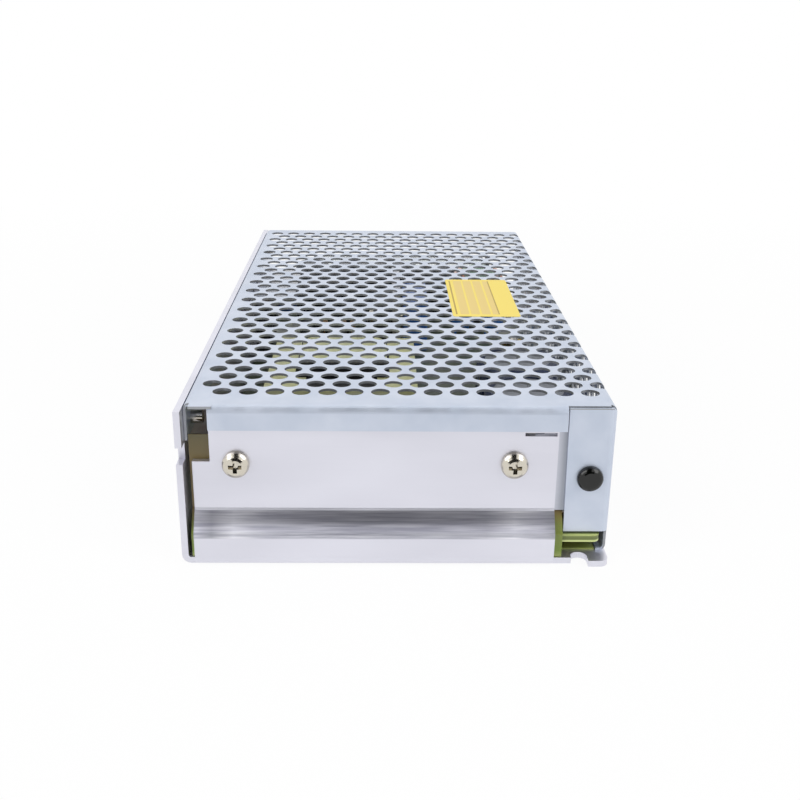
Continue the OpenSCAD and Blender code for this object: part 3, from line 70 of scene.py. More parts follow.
def add(tree, kind, inputs=None, stops=(), steps="LINEAR", **settings):
    """Adds a node with its settings, and fills its inputs with values, or with links.

    An input given a socket is linked to it, and one given a node to that node's first output.
    A colour ramp also takes its stops, as pairs of a place and a hex colour.
    """
    made = tree.nodes.new(kind)
    for name, value in settings.items():
        setattr(made, name, value)
    for socket, given in (inputs or {}).items():
        source = given.outputs[0] if isinstance(given, bpy.types.Node) else given
        if isinstance(source, bpy.types.NodeSocket):
            tree.links.new(source, made.inputs[socket])
        else:
            made.inputs[socket].default_value = source
    if stops:
        made.color_ramp.interpolation = steps
        while len(made.color_ramp.elements) < len(stops):
            made.color_ramp.elements.new(0.5)
        for element, (place, colour) in zip(made.color_ramp.elements, stops):
            element.position = place
            element.color = linear(colour)
    return made


def placed(name, data):
    """A new object in the scene that holds a mesh, a light or a camera."""
    made = bpy.data.objects.new(name, data)
    bpy.context.scene.collection.objects.link(made)
    return made


def finish(name, colour, roughness, metallic=0.0, **sockets):
    """A material with one surface shader; returns it with its node tree and that shader."""
    made = bpy.data.materials.new(name)
    made.use_nodes = True
    made.node_tree.nodes.clear()
    values = {"Base Color": linear(colour), "Roughness": roughness, "Metallic": metallic}
    values.update({key.replace("_", " "): value for key, value in sockets.items()})
    surface = add(made.node_tree, "ShaderNodeBsdfPrincipled", values)
    add(made.node_tree, "ShaderNodeOutputMaterial", {"Surface": surface})
    made.diffuse_color = linear(colour)
    return made, made.node_tree, surface


def feed(surface, **sources):
    """Lets nodes drive the sockets of a material's surface shader."""
    for socket, source in sources.items():
        surface.id_data.links.new(source.outputs[0], surface.inputs[socket.replace("_", " ")])


def box_mm(node):
    """The lowest and highest corner of a node of the frame, in mm."""
    return [[v / MM for v in corner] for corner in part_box(node)]


def position(tree):
    """Where a point lies on its piece, as outputs X, Y and Z in mm."""
    place = add(tree, "ShaderNodeTexCoord").outputs["Object"]
    in_mm = add(tree, "ShaderNodeVectorMath", {0: place, "Scale": 1 / MM}, operation="SCALE")
    return add(tree, "ShaderNodeSeparateXYZ", {"Vector": in_mm}).outputs


def facing(tree):
    """Which way a point's surface faces, as outputs X, Y and Z."""
    normal = add(tree, "ShaderNodeNewGeometry").outputs["Normal"]
    return add(tree, "ShaderNodeSeparateXYZ", {"Vector": normal}).outputs


def where(tree, *spans):
    """1 where every value is past its span, 0 where one hasn't reached it, and a slope between.

    A span is a value with where it begins to count and where it counts in full.
    """
    share = None
    for value, start, full in spans:
        passed = add(tree, "ShaderNodeMapRange", {"Value": value, "From Min": start, "From Max": full})
        if share:
            passed = add(tree, "ShaderNodeMath", {0: share, 1: passed}, operation="MULTIPLY")
        share = passed
    return share


def mottle(tree, size_mm, stretch=(1, 1, 1), detail=2.0):
    """Noise whose lumps are about size_mm across, drawn out along the axes by stretch."""
    place = add(tree, "ShaderNodeTexCoord").outputs["Object"]
    scale = [1 / (size_mm * MM * s) for s in stretch]
    mapped = add(tree, "ShaderNodeMapping", {"Vector": place, "Scale": scale})
    return add(tree, "ShaderNodeTexNoise", {"Vector": mapped, "Scale": 1.0, "Detail": detail})


def uneven(tree, low, high, size_mm, stretch=(1, 1, 1), detail=2.0):
    """A number that wanders from low to high in lumps of about size_mm."""
    # Most of a noise lies between 0.3 and 0.7
    return add(tree, "ShaderNodeMapRange", {"Value": mottle(tree, size_mm, stretch, detail),
                                            "From Min": 0.3, "From Max": 0.7, "To Min": low, "To Max": high})


# ---- Metals ----

# Thickness of the cover's sheet, in mm
COVER_SHEET = 0.6
# Heights between which the end plate's joggle slopes, in mm
JOGGLE_LOW = 6.9
JOGGLE_HIGH = 12.75
# Depth behind the case's end that holds the whole outer face of the end plate, in mm
PLATE_DEPTH = 4.5
# Where the end plate begins beside the left wall, in mm from the case's left side
PLATE_LEFT = 2.0
# Where the end plate steps back for the cover's tab, and how wide it shows there, in mm
WING_LEFT = 36.2
WING_SHOWN = 1.6
# How far a painted area takes to fade in: at the foot of the joggle, at its top, and at other edges, in mm
FADE_LOW = 0.35
FADE_HIGH = 0.18
FADE = 0.2


def zinc_plated_steel():
    """Galvanised sheet, punched after plating: cool cloudy grey, soft gloss, duller bare cut edges."""
    made, tree, surface = finish("zinc_plated_steel_passivated", "cdd5e2", 0.42, 0.7)
    clouds = add(tree, "ShaderNodeValToRGB", {"Fac": mottle(tree, 9, detail=3)},
                 [(0.3, "c3ccdc"), (0.7, "d1d8e6")])
    at = position(tree)
    faces = facing(tree)
    low, high = box_mm("cover")
    # The cut end of the flange behind the left wall, which faces the front
    flange = low[0] + COVER_SHEET
    bare = where(tree, (faces["Y"], -0.85, -0.95), (at["X"], flange + 0.1, flange + 0.05))
    # In the sheet's top and right side only the walls of the holes don't face along the axis
    for axis, outside in (("Z", high[2]), ("X", high[0])):
        inner = outside - COVER_SHEET
        flat = add(tree, "ShaderNodeMath", {0: faces[axis]}, operation="ABSOLUTE")
        wall = where(tree, (at[axis], inner - 0.02, inner + 0.05), (flat, 0.4, 0.3))
        bare = add(tree, "ShaderNodeMath", {0: bare, 1: wall}, operation="ADD", use_clamp=True)
    mixed = add(tree, "ShaderNodeMixRGB", {"Fac": bare, "Color1": clouds, "Color2": linear("a0a3a8")})
    feed(surface, Base_Color=mixed, Roughness=uneven(tree, 0.36, 0.48, 4))
    return made


def aluminium_sheet():
    """Mill finish aluminium, press-braked: pale and satin, with painted reflection and shade in streaks
    along its joggle, and painted shade beside the cover's tab.
    """
    made, tree, surface = finish("aluminium_sheet_mill_finish", "dfdfe9", 0.36, 0.85)
    at = position(tree)
    low, high = box_mm("chassis")
    # A span that holds the end plate alone
    deepest = low[1] + PLATE_DEPTH
    plate = (at["Y"], deepest + 0.5, deepest)
    clouds = add(tree, "ShaderNodeValToRGB", {"Fac": mottle(tree, 14, (3, 1, 1))},
                 [(0.3, "dcdce6"), (0.7, "e4e4ee")])
    # Painted reflection and shade on the joggle's slope: greyest under the upper fold, brightest at its foot
    band = where(tree, (at["Z"], JOGGLE_LOW, JOGGLE_LOW + FADE_LOW),
                 (at["Z"], JOGGLE_HIGH, JOGGLE_HIGH - FADE_HIGH), plate,
                 (at["X"], low[0] + PLATE_LEFT, low[0] + PLATE_LEFT + FADE))
    span = where(tree, (at["Z"], JOGGLE_LOW, JOGGLE_HIGH))
    painted_joggle_shade = add(tree, "ShaderNodeValToRGB", {"Fac": span},
                 [(0.0, "f4f4fa"), (0.12, "fafaff"), (0.3, "eeeef6"), (0.45, "e6e6ee"),
                  (0.65, "e4e4ec"), (0.82, "d8d8e0"), (0.94, "ececf2"), (1.0, "dfdfe9")])
    # Painted highlights along the joggle: two bright spots near its ends, greyer between and at the very
    # ends
    across = where(tree, (at["X"], low[0] + 3, WING_LEFT + 0.8))
    painted_joggle_glints = add(tree, "ShaderNodeValToRGB", {"Fac": across},
                 [(0.0, "e8e8ec"), (0.05, "c4c4c8"), (0.11, "ffffff"), (0.2, "e2e2e6"), (0.4, "d6d6da"),
                  (0.72, "d6d6da"), (0.8, "d4d4d8"), (0.88, "ffffff"), (0.95, "dcdce0"), (1.0, "bcbcc0")])
    # The tool's scratches, drawn 0.5 mm wide because the real ones are too fine to show
    streaks = add(tree, "ShaderNodeValToRGB", {"Fac": mottle(tree, 0.5, (24, 1, 1), 4)},
                  [(0.36, "d2d2d8"), (0.64, "ffffff")])
    # The painted highlights and the tool's scratches are laid over the painted shade
    for layer in (painted_joggle_glints, streaks):
        painted_joggle_shade = add(tree, "ShaderNodeMixRGB", {"Fac": 1.0, "Color1": painted_joggle_shade, "Color2": layer},
                     blend_type="MULTIPLY", use_clamp=True)
    # Only the joggle's band takes the painted reflection and shade
    mixed = add(tree, "ShaderNodeMixRGB", {"Fac": band, "Color1": clouds, "Color2": painted_joggle_shade})
    # Painted shade where the end plate steps back for the cover's tab, darkest beside the tab
    wing = where(tree, (at["X"], WING_LEFT, WING_LEFT + FADE), plate,
                 (at["Z"], JOGGLE_LOW, JOGGLE_LOW + FADE))
    to_tab = where(tree, (at["X"], WING_LEFT, WING_LEFT + WING_SHOWN))
    painted_tab_shade = add(tree, "ShaderNodeValToRGB", {"Fac": to_tab}, [(0.0, "caccd6"), (1.0, "9ea2ac")])
    mixed = add(tree, "ShaderNodeMixRGB", {"Fac": wing, "Color1": mixed, "Color2": painted_tab_shade})
    # Rolling lines elsewhere, drawn 0.6 mm wide because the real ones are too fine to show
    rolled = uneven(tree, 0.32, 0.42, 0.6, (40, 40, 1), 3)
    # The joggle's slope is matt at its foot and shines under the upper fold
    worn = add(tree, "ShaderNodeMapRange",
               {"Value": span, "From Min": 0.4, "From Max": 0.62, "To Min": 0.5, "To Max": 0.28})
    rough = add(tree, "ShaderNodeMixRGB", {"Fac": band, "Color1": rolled, "Color2": worn})
    feed(surface, Base_Color=mixed, Roughness=rough)
    return made


def nickel_plated_steel():
    """Bright nickel over steel, as on pan head screws: a warm mirror with a little haze."""
    made, tree, surface = finish("nickel_plated_steel_bright", "d2ccbf", 0.14, 1.0)
    feed(surface, Roughness=uneven(tree, 0.1, 0.2, 1.5))
    return made


def aluminium_extrusion():
    """Bare aluminium heat sink plate, sawn and washed: silver with a drawn grain."""
    made, tree, surface = finish("aluminium_extrusion_bare", "e6e6e8", 0.3, 0.9)
    # The grain's lines are 0.5 mm wide because the real ones are too fine to show
    feed(surface, Roughness=uneven(tree, 0.24, 0.4, 0.5, (1, 30, 1)))
    return made


def aluminium_bar():
    """Aluminium flat bar: a dull dark silver, darkened all over as painted shade."""
    # Painted shade: the bar's colour is darkened for the shade it sits in
    return finish("aluminium_bar_painted_shade", "85837b", 0.45, 0.8)[0]


def capacitor_aluminium():
    """Impact-extruded aluminium can: plain grey and half matt."""
    return finish("can_aluminium_drawn", "b4b7bd", 0.4, 0.8)[0]


def brass():
    """Brass, turned or stamped: a soft-shining yellow, a little dulled by air."""
    return finish("brass_turned", "d7b667", 0.28, 1.0)[0]


def enamelled_copper():
    """Enamelled copper wire: orange-brown metal under a clear coat."""
    return finish("copper_wire_enamelled", "b8662c", 0.25, 0.9, Coat_Weight=0.6)[0]


# ---- Plastics, coatings and ceramics ----

def plastic(name, colour, roughness, **sockets):
    """A moulded or coated part: one colour with a slightly uneven gloss."""
    made, tree, surface = finish(name, colour, roughness, **sockets)
    feed(surface, Roughness=uneven(tree, max(roughness - 0.05, 0.02), roughness + 0.08, 3))
    return made


def insulating_polyester():
    """Amber polyester film, die-cut, its colour painted by height: a painted highlight at its foot, painted
    green of the board showing through low down, and brown painted shade higher up against the dark interior.
    """
    made, tree, surface = finish("polyester_film_amber", "8a7c40", 0.3, Transmission_Weight=0.3, IOR=1.6)
    low, high = box_mm("insulating_film")
    height = where(tree, (position(tree)["Z"], low[2], high[2]))
    # Painted light and shade by height over the film's amber
    painted_light_by_height = add(tree, "ShaderNodeValToRGB", {"Fac": height},
                 [(0.0, "b6c06c"), (0.06, "7f9a2c"), (0.27, "8a9440"),
                  (0.36, "92783a"), (0.7, "87703a"), (1.0, "6a6038")])
    feed(surface, Base_Color=painted_light_by_height)
    return made


def solder_masked_board():
    """Glass epoxy board: olive solder mask, a bare pale rim, and sawn edges painted with light and shade:
    lit pale low down, the cover tab's painted shadow above, and a painted highlight along the top.
    """
    made, tree, surface = finish("glass_epoxy_solder_mask", "55662c", 0.35, IOR=1.5)
    at = position(tree)
    low, high = box_mm("circuit_board")
    # Over the first 8 mm from the front edge: a bare rim of about 1 mm, then the mask, then a greyer one
    rim = add(tree, "ShaderNodeValToRGB", {"Fac": where(tree, (at["Y"], low[1], low[1] + 8))},
              [(0.1, "c4d083"), (0.14, "5d6e33"), (0.7, "5d6e33"), (1.0, "5a6350")])
    # Painted light and shade on the sawn edges: lit pale low down, the cover tab's painted shadow above, a
    # painted highlight at the top
    sawn = add(tree, "ShaderNodeValToRGB", {"Fac": where(tree, (at["Z"], low[2], high[2]))},
               [(0.2, "ccd890"), (0.38, "66713c"), (0.85, "6f7a44"), (1.0, "a9b56c")])
    flat = add(tree, "ShaderNodeMath", {0: facing(tree)["Z"]}, operation="ABSOLUTE")
    is_face = where(tree, (flat, 0.45, 0.55))
    mixed = add(tree, "ShaderNodeMixRGB", {"Fac": is_face, "Color1": sawn, "Color2": rim})
    feed(surface, Base_Color=mixed)
    return made


def label_vinyl():
    """Printed vinyl label: clear yellow with plain ruled lines and tints, under a satin laminate."""
    yellow, rule, tint = "fbe264", "b3963a", "ecd07a"
    made, tree, surface = finish("vinyl_label_printed", yellow, 0.45, IOR=1.46)
    at = position(tree)
    low, high = box_mm("label")
    bars = add(tree, "ShaderNodeValToRGB", {"Fac": where(tree, (at["X"], low[0], high[0]))},
               [(0.0, yellow), (0.05, rule), (0.072, yellow), (0.12, tint), (0.25, yellow), (0.28, tint),
                (0.41, yellow), (0.44, tint), (0.57, yellow), (0.6, tint), (0.68, rule), (0.7, yellow)],
               "CONSTANT")
    printed = add(tree, "ShaderNodeValToRGB", {"Fac": where(tree, (at["Y"], low[1], high[1]))},
                  [(0.0, "000000"), (0.05, "ffffff"), (0.95, "000000")], "CONSTANT")
    mixed = add(tree, "ShaderNodeMixRGB", {"Fac": printed, "Color1": linear(yellow), "Color2": bars})
    feed(surface, Base_Color=mixed)
    return made


def winding_tape():
    """Polyester tape round the windings: pale lime yellow, smooth, with the laps just visible."""
    made, tree, surface = finish("polyester_tape_yellow", "f7f8c4", 0.35, IOR=1.5)
    laps = add(tree, "ShaderNodeValToRGB", {"Fac": mottle(tree, 1.6, (8, 8, 1))},
               [(0.35, "f3f3b6"), (0.65, "fbfcd2")])
    feed(surface, Base_Color=laps)
    return made


def ferrite():
    """Sintered ferrite, ground: charcoal grey and matt, with a fine grain."""
    made, tree, surface = finish("ferrite_ground", "2c2c2f", 0.55)
    # The grain is drawn 0.5 mm coarse because the real one is too fine to show
    grain = add(tree, "ShaderNodeValToRGB", {"Fac": mottle(tree, 0.5)},
                [(0.35, "232326"), (0.65, "3a3a3d")])
    feed(surface, Base_Color=grain)
    return made


FINISHES = {
    zinc_plated_steel: ["cover"],
    aluminium_sheet: ["chassis"],
    nickel_plated_steel: ["end_plate_screws", "cover_side_screws", "cover_foot_screws", "board_screws",
                          "terminal_strips", "terminal_clamps", "terminal_screws",
                          "transistor_screws", "heatsink_screws", "bridge_screw", "fuse_caps"],
    aluminium_extrusion: ["rectifier_heatsink", "bridge_heatsink"],
    aluminium_bar: ["heat_bar"],
    capacitor_aluminium: ["input_capacitor_cans", "output_capacitor_cans"],
    brass: ["spacers", "fuse_clips"],
    insulating_polyester: ["insulating_film"],
    solder_masked_board: ["circuit_board"],
    label_vinyl: ["label"],
    winding_tape: ["transformer_winding", "transformer_tape", "driver_winding"],
    ferrite: ["transformer_core", "driver_core"],
}

# name: (colour, roughness, other shader values, nodes)
MOULDINGS = {
    # Moulded nylon: deep black with a small sharp highlight
    "nylon_black_gloss": ("060706", 0.1, {"IOR": 1.5}, ["cover_rivet"]),
    # Moulded glass-filled polyester: black, with a dull sheen
    "polyester_moulding_black": ("1d1d1f", 0.42, {"IOR": 1.55}, ["terminal_block", "selector_body"]),
    # Pressed phenolic resin: black, and duller than the terminals
    "phenolic_moulding_black": ("17171a", 0.45, {"IOR": 1.55},
                                ["transformer_bobbin", "driver_bobbin", "line_choke_seat"]),
    # Moulded polycarbonate: clear and glossy, seen by its edges
    "polycarbonate_clear": ("f2f7f8", 0.08, {"IOR": 1.58, "Transmission_Weight": 0.95}, ["terminal_cover"]),
    # Moulded polyester of a trimmer: mid blue, satin
    "polyester_moulding_blue": ("2b62b4", 0.35, {"IOR": 1.55}, ["trimmer_body"]),
    # Moulded nylon: warm white and matt
    "nylon_white_matt": ("e9e7dd", 0.45, {"IOR": 1.53}, ["trimmer_rotor"]),
    # Moulded nylon: signal red and matt
    "nylon_red_matt": ("b72a20", 0.4, {"IOR": 1.53}, ["selector_slider"]),
    # Cast epoxy lens: clear green and glossy
    "epoxy_lens_green": ("3fae4a", 0.12, {"IOR": 1.5, "Transmission_Weight": 0.5}, ["output_led"]),
    # Filled silicone rubber: flat grey without a highlight
    "silicone_pad_grey": ("9a9c9d", 0.7, {"IOR": 1.41}, ["transistor_pads"]),
    # Transfer-moulded epoxy of chips: black, fine and matt
    "epoxy_mould_compound_black": ("1b1b1d", 0.5, {"IOR": 1.55},
                                   ["power_transistors", "output_rectifiers", "bridge_rectifier",
                                    "control_chip", "diodes"]),
    # Shrunk polyester sleeve: dark navy with a soft gloss
    "polyester_sleeve_navy": ("1f2f58", 0.25, {"IOR": 1.55}, ["input_capacitor_sleeves"]),
    # Shrunk polyester sleeve: near black with a soft gloss
    "polyester_sleeve_black": ("1a2024", 0.25, {"IOR": 1.55},
                               ["output_capacitor_sleeves", "small_capacitors"]),
    # Sprayed epoxy on a powder core: dull yellow
    "epoxy_coat_yellow": ("e0cf62", 0.45, {"IOR": 1.5}, ["output_choke_core"]),
    # Sprayed epoxy on a ferrite ring: pale green, satin
    "epoxy_coat_pale_green": ("b4d3b6", 0.45, {"IOR": 1.5}, ["line_choke_core"]),
    # Moulded polypropylene case: clear blue, smooth
    "polypropylene_case_blue": ("3f72c4", 0.3, {"IOR": 1.49}, ["line_capacitor"]),
    # Dipped epoxy: red-brown and wet-looking
    "epoxy_dip_brown": ("7a3b22", 0.2, {"IOR": 1.5}, ["film_capacitors"]),
    # Lacquered ceramic disc: bright blue with a soft gloss
    "ceramic_lacquer_blue": ("2f6fc0", 0.3, {"IOR": 1.5}, ["safety_capacitors"]),
    # Silicone lacquer: black with a green cast, dull
    "silicone_lacquer_black": ("202422", 0.5, {"IOR": 1.45}, ["thermistor"]),
    # Drawn glass tube: clear, with bright sharp edges
    "soda_glass_clear": ("f4f8f8", 0.03, {"IOR": 1.52, "Transmission_Weight": 1.0}, ["fuse_tube"]),
    # Lacquered resistor body: tan, satin
    "resistor_lacquer_tan": ("cda97a", 0.35, {"IOR": 1.5}, ["resistors"]),
}


def paint(nodes, material):
    """Gives a material to nodes of the frame."""
    for name in nodes:
        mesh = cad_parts[name].data
        mesh.materials.clear()
        mesh.materials.append(material)


for make, nodes in FINISHES.items():
    paint(nodes, make())
for name, (colour, roughness, sockets, nodes) in MOULDINGS.items():
    paint(nodes, plastic(name, colour, roughness, **sockets))


# ---- Wound wire ----

# Sides of the wire's section, steps in each corner of a turn, and that corner's radius in wires
WIRE_SIDES = 10
CORNER_STEPS = 3
CORNER_WIRES = 0.9
# name: (node, core, axis, bore in mm, arcs of the ring that carry wire in degrees, turns on an arc)
CHOKES = {
    "output_choke_turns": ("output_choke_winding", "output_choke_core", "Z", 14, [(20, 340)], 30),
    "line_choke_turns": ("line_choke_windings", "line_choke_core", "Y", 12, [(-55, 55), (125, 235)], 9),
}


def winding_tree(material):
    """Turns of round wire laid side by side over part of a ring core whose axis is Z."""
    tree = bpy.data.node_groups.new("wound_turns", "GeometryNodeTree")
    tree.interface.new_socket("Geometry", in_out="OUTPUT", socket_type="NodeSocketGeometry")
    sizes = {"Core Outer": "Float", "Core Bore": "Float", "Core Height": "Float", "Wire": "Float",
             "First Angle": "Float", "Last Angle": "Float", "Turns": "Int", "Lie": "Vector",
             "Centre": "Vector"}
    for name, kind in sizes.items():
        tree.interface.new_socket(name, in_out="INPUT", socket_type="NodeSocket" + kind)
    given = add(tree, "NodeGroupInput").outputs
    outer, bore, wire = given["Core Outer"], given["Core Bore"], given["Wire"]
    # One turn is a rounded loop round the core's wall, half a wire clear of it
    ring = add(tree, "ShaderNodeMath", {0: outer, 1: bore}, operation="SUBTRACT")
    width = add(tree, "ShaderNodeMath", {0: ring, 1: 0.5, 2: wire}, operation="MULTIPLY_ADD")
    height = add(tree, "ShaderNodeMath", {0: given["Core Height"], 1: wire}, operation="ADD")
    corner = add(tree, "ShaderNodeMath", {0: wire, 1: CORNER_WIRES}, operation="MULTIPLY")
    loop = add(tree, "GeometryNodeCurvePrimitiveQuadrilateral", {"Width": width, "Height": height})
    rounded = add(tree, "GeometryNodeFilletCurve",
                  {"Curve": loop, "Radius": corner, "Count": CORNER_STEPS}, mode="POLY")
    half = add(tree, "ShaderNodeMath", {0: wire, 1: 0.5}, operation="MULTIPLY")
    section = add(tree, "GeometryNodeCurvePrimitiveCircle", {"Radius": half, "Resolution": WIRE_SIDES})
    turn = add(tree, "GeometryNodeCurveToMesh", {"Curve": rounded, "Profile Curve": section})
    # It stands upright, round the middle of the core's wall
    across = add(tree, "ShaderNodeMath", {0: outer, 1: bore}, operation="ADD")
    middle = add(tree, "ShaderNodeMath", {0: across, 1: 0.25}, operation="MULTIPLY")
    out = add(tree, "ShaderNodeCombineXYZ", {"X": middle})
    stood = add(tree, "GeometryNodeTransform",
                {"Geometry": turn, "Translation": out, "Rotation": (math.radians(90), 0, 0)})
    # The turns are spread evenly from the first angle to the last
    last = add(tree, "ShaderNodeMath", {0: given["Turns"], 1: 1}, operation="SUBTRACT")
    angle = add(tree, "ShaderNodeMapRange",
                {"Value": add(tree, "GeometryNodeInputIndex"), "From Max": last,
                 "To Min": given["First Angle"], "To Max": given["Last Angle"]})
    heading = add(tree, "ShaderNodeCombineXYZ", {"Z": angle})
    places = add(tree, "GeometryNodePoints", {"Count": given["Turns"]})
    copies = add(tree, "GeometryNodeInstanceOnPoints",
                 {"Points": places, "Instance": stood, "Rotation": heading})
    laid = add(tree, "GeometryNodeTransform",
               {"Geometry": copies, "Rotation": given["Lie"], "Translation": given["Centre"]})
    plain = add(tree, "GeometryNodeRealizeInstances", {"Geometry": laid})
    smooth = add(tree, "GeometryNodeSetShadeSmooth", {"Geometry": plain})
    dressed = add(tree, "GeometryNodeSetMaterial", {"Geometry": smooth, "Material": material})
    add(tree, "NodeGroupOutput", {"Geometry": dressed})
    return tree


def grown(name, tree, sizes):
    """The plain mesh object that a node tree makes from these sizes."""
    seed = placed(name + "_seed", bpy.data.meshes.new(name + "_seed"))
    modifier = seed.modifiers.new("turns", "NODES")
    modifier.node_group = tree
    for item in tree.interface.items_tree:
        if item.in_out == "INPUT":
            modifier[item.identifier] = sizes[item.name]
    evaluated = seed.evaluated_get(bpy.context.evaluated_depsgraph_get())
    mesh = bpy.data.meshes.new_from_object(evaluated)
    mesh.name = name
    bpy.data.objects.remove(seed)
    return placed(name, mesh)


def joined(name, pieces):
    """One object with the meshes of several; all of them lie at the origin."""
    work = bmesh.new()
    for piece in pieces:
        work.from_mesh(piece.data)
    mesh = pieces[0].data.copy()
    work.to_mesh(mesh)
    work.free()
    mesh.name = name
    for piece in pieces:
        bpy.data.objects.remove(piece)
    return placed(name, mesh)


def wind(tree, name, node, core, axis, bore, arcs, turns):
    """Winds a core with wire that fills the space its CAD winding holds, and stands for it."""
    low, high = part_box(core)
    size = [b - a for a, b in zip(low, high)]
    along = "XYZ".index(axis)
    wound_low, wound_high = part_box(node)
    wire = (wound_high[along] - wound_low[along] - size[along]) / 2
    sizes = {"Core Outer": size[0], "Core Bore": bore * MM, "Core Height": size[along], "Wire": wire,
             "Turns": turns, "Lie": (math.radians(90), 0, 0) if axis == "Y" else (0, 0, 0),
             "Centre": [(a + b) / 2 for a, b in zip(low, high)]}
    # The angle that half a wire takes at the bore, in radians
    half_wire = wire / (bore * MM)
    pieces = []
    for number, (first, last) in enumerate(arcs):
        sizes["First Angle"] = math.radians(first) + half_wire
        sizes["Last Angle"] = math.radians(last) - half_wire
        pieces.append(grown(f"{name}_{number}", tree, sizes))
    made = joined(name, pieces)
    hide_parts(node)
    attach(made, "case")


winding = winding_tree(enamelled_copper())
for name, choke in CHOKES.items():
    wind(winding, name, *choke)


# ---- Stage ----

# Share of plain white in the paper by the supply, where the rest is lit and takes the shadow
PAPER_GLOW = 0.92
# Distances from the middle between which the paper goes over to plain white, in metres
GLOW_START = 0.14
GLOW_FULL = 0.4
# Half the floor's width, and how far it lies below the supply, in metres
FLOOR_HALF = 6.0
FLOOR_DROP = 0.05 * MM
# Strength of the world's light on everything that doesn't mirror it
WORLD_FILL = 0.5
# Half width, Y and Z of the black card's edges, from the floor up, in metres
CARD_EDGES = [(0.3, -0.75, 0.02), (0.3, -0.72, 0.2), (0.17, -0.67, 0.36), (0.17, -0.6, 0.5),
              (0.2, -0.4, 0.72), (0.22, -0.1, 0.85), (0.22, 0.1, 0.85)]
# name: (place and width in metres, watts)
SOFTBOXES = {
    "softbox_left": ((-0.8, -0.6, 0.75), 0.8, 5),
    "softbox_right": ((0.8, -0.6, 0.75), 0.8, 5),
    "softbox_top": ((0.0, 0.3, 1.1), 0.9, 1.5),
}


def stage_sheet(name, points, faces, material):
    """A sheet of the studio, not part of the supply."""
    mesh = bpy.data.meshes.new(name)
    mesh.from_pydata(points, [], faces)
    mesh.materials.append(material)
    made = placed(name, mesh)
    return made


def plain_view(tree):
    """1 for rays from the camera or off gloss and glass, which see plain white, and 0 for the rest."""
    ray = add(tree, "ShaderNodeLightPath").outputs
    seen = ray["Is Camera Ray"]
    for kind in ("Is Glossy Ray", "Is Transmission Ray"):
        seen = add(tree, "ShaderNodeMath", {0: seen, 1: ray[kind]}, operation="MAXIMUM").outputs[0]
    return seen


def backdrop_paper():
    """White paper that keeps a faint shadow by the supply and is plain white further off."""
    made, tree, surface = finish("paper_white", "fcfcfc", 0.9)
    place = add(tree, "ShaderNodeTexCoord").outputs["Object"]
    far = add(tree, "ShaderNodeVectorMath", {0: place}, operation="LENGTH").outputs["Value"]
    growth = {"Value": far, "From Min": GLOW_START, "From Max": GLOW_FULL, "To Min": PAPER_GLOW}
    both = {0: plain_view(tree), 1: add(tree, "ShaderNodeMapRange", growth)}
    share = add(tree, "ShaderNodeMath", both, operation="MULTIPLY")
    glow = add(tree, "ShaderNodeEmission", {"Color": (1, 1, 1, 1), "Strength": 1.0})
    mixed = add(tree, "ShaderNodeMixShader", {0: share, 1: surface, 2: glow})
    output = next(n for n in tree.nodes if n.type == "OUTPUT_MATERIAL")
    tree.links.new(mixed.outputs[0], output.inputs["Surface"])
    return made


def studio_world():
    """White wherever it is seen directly or mirrored, and a dim fill on everything else."""
    world = bpy.data.worlds.new("studio_white")
    bpy.context.scene.world = world
    world.use_nodes = True
    tree = world.node_tree
    tree.nodes.clear()
    fill = add(tree, "ShaderNodeBackground", {"Color": (1, 1, 1, 1), "Strength": WORLD_FILL})
    white = add(tree, "ShaderNodeBackground", {"Color": (1, 1, 1, 1), "Strength": 1.0})
    both = add(tree, "ShaderNodeMixShader", {0: plain_view(tree), 1: fill, 2: white})
    add(tree, "ShaderNodeOutputWorld", {"Surface": both})


def softbox(name, place, size, watts):
    """A square soft light at place that faces the middle of the supply."""
    lamp = bpy.data.lights.new(name, "AREA")
    lamp.shape = "SQUARE"
    lamp.size = size
    lamp.energy = watts
    made = placed(name, lamp)
    middle = (Vector(solids_box[0]) + Vector(solids_box[1])) / 2
    aim = (middle - Vector(place)).to_track_quat("-Z", "Y")
    made.matrix_world = Matrix.Translation(place) @ aim.to_matrix().to_4x4()
    made.visible_camera = False


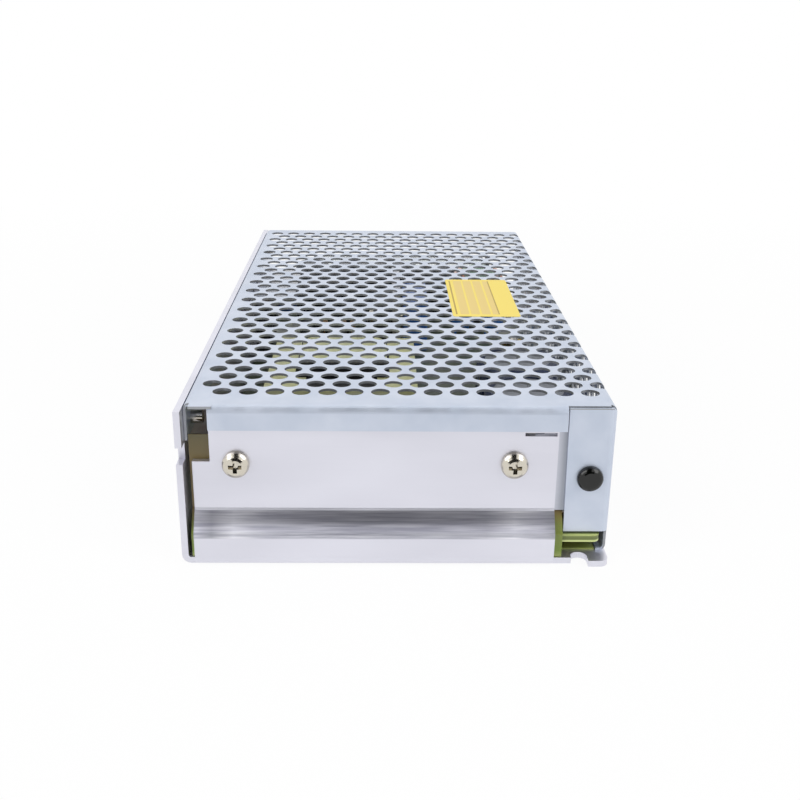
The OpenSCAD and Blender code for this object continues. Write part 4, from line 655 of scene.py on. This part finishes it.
def paper_floor():
    """A square of paper just under the supply's base."""
    corners = ((-1, -1), (1, -1), (1, 1), (-1, 1))
    level = solids_box[0][2] - FLOOR_DROP
    points = [(x * FLOOR_HALF, y * FLOOR_HALF, level) for x, y in corners]
    stage_sheet("paper_floor", points, [(0, 1, 2, 3)], backdrop_paper())


def black_card():
    """A black card behind and over the camera, seen only in polished folds and screw heads."""
    points = [(side * half, y, z) for half, y, z in CARD_EDGES for side in (-1, 1)]
    faces = [(2 * i, 2 * i + 1, 2 * i + 3, 2 * i + 2) for i in range(len(CARD_EDGES) - 1)]
    card = stage_sheet("flag_card", points, faces, finish("flag_black", "060606", 0.9)[0])
    for kind in ("camera", "diffuse", "shadow", "transmission"):
        setattr(card, "visible_" + kind, False)


paper_floor()
studio_world()
for name, (place, size, watts) in SOFTBOXES.items():
    softbox(name, place, size, watts)
black_card()


# ---- Camera ----

# Where the camera stands: X, how far before the case's end, and height, in mm
CAMERA_X = -4.0
CAMERA_BEFORE = 213.1
CAMERA_HEIGHT = 122.0
# How far it looks down, how far to the right, and how far it leans, in degrees
CAMERA_DOWN = 20.84
CAMERA_RIGHT = 1.21
CAMERA_LEAN = 0.70
# Its lens, in mm, on a frame 36 mm wide
CAMERA_LENS = 47.56


def camera():
    """A 36 mm frame with a normal lens, in front of the joggled end and above it."""
    lens = bpy.data.cameras.new("camera")
    lens.sensor_width = 36.0
    lens.lens = CAMERA_LENS
    lens.clip_start = 0.01
    made = placed("camera", lens)
    pitch, yaw, roll = (math.radians(v) for v in (CAMERA_DOWN, CAMERA_RIGHT, CAMERA_LEAN))
    ahead = Vector((math.sin(yaw) * math.cos(pitch), math.cos(yaw) * math.cos(pitch), -math.sin(pitch)))
    right = ahead.cross(Vector((0, 0, 1))).normalized()
    up = right.cross(ahead)
    side = right * math.cos(roll) + up * math.sin(roll)
    top = up * math.cos(roll) - right * math.sin(roll)
    turn = Matrix((side, top, -ahead)).transposed().to_4x4()
    place = (CAMERA_X * MM, solids_box[0][1] - CAMERA_BEFORE * MM, CAMERA_HEIGHT * MM)
    made.matrix_world = Matrix.Translation(place) @ turn
    bpy.context.scene.camera = made


camera()
bpy.context.scene.view_settings.view_transform = "Standard"
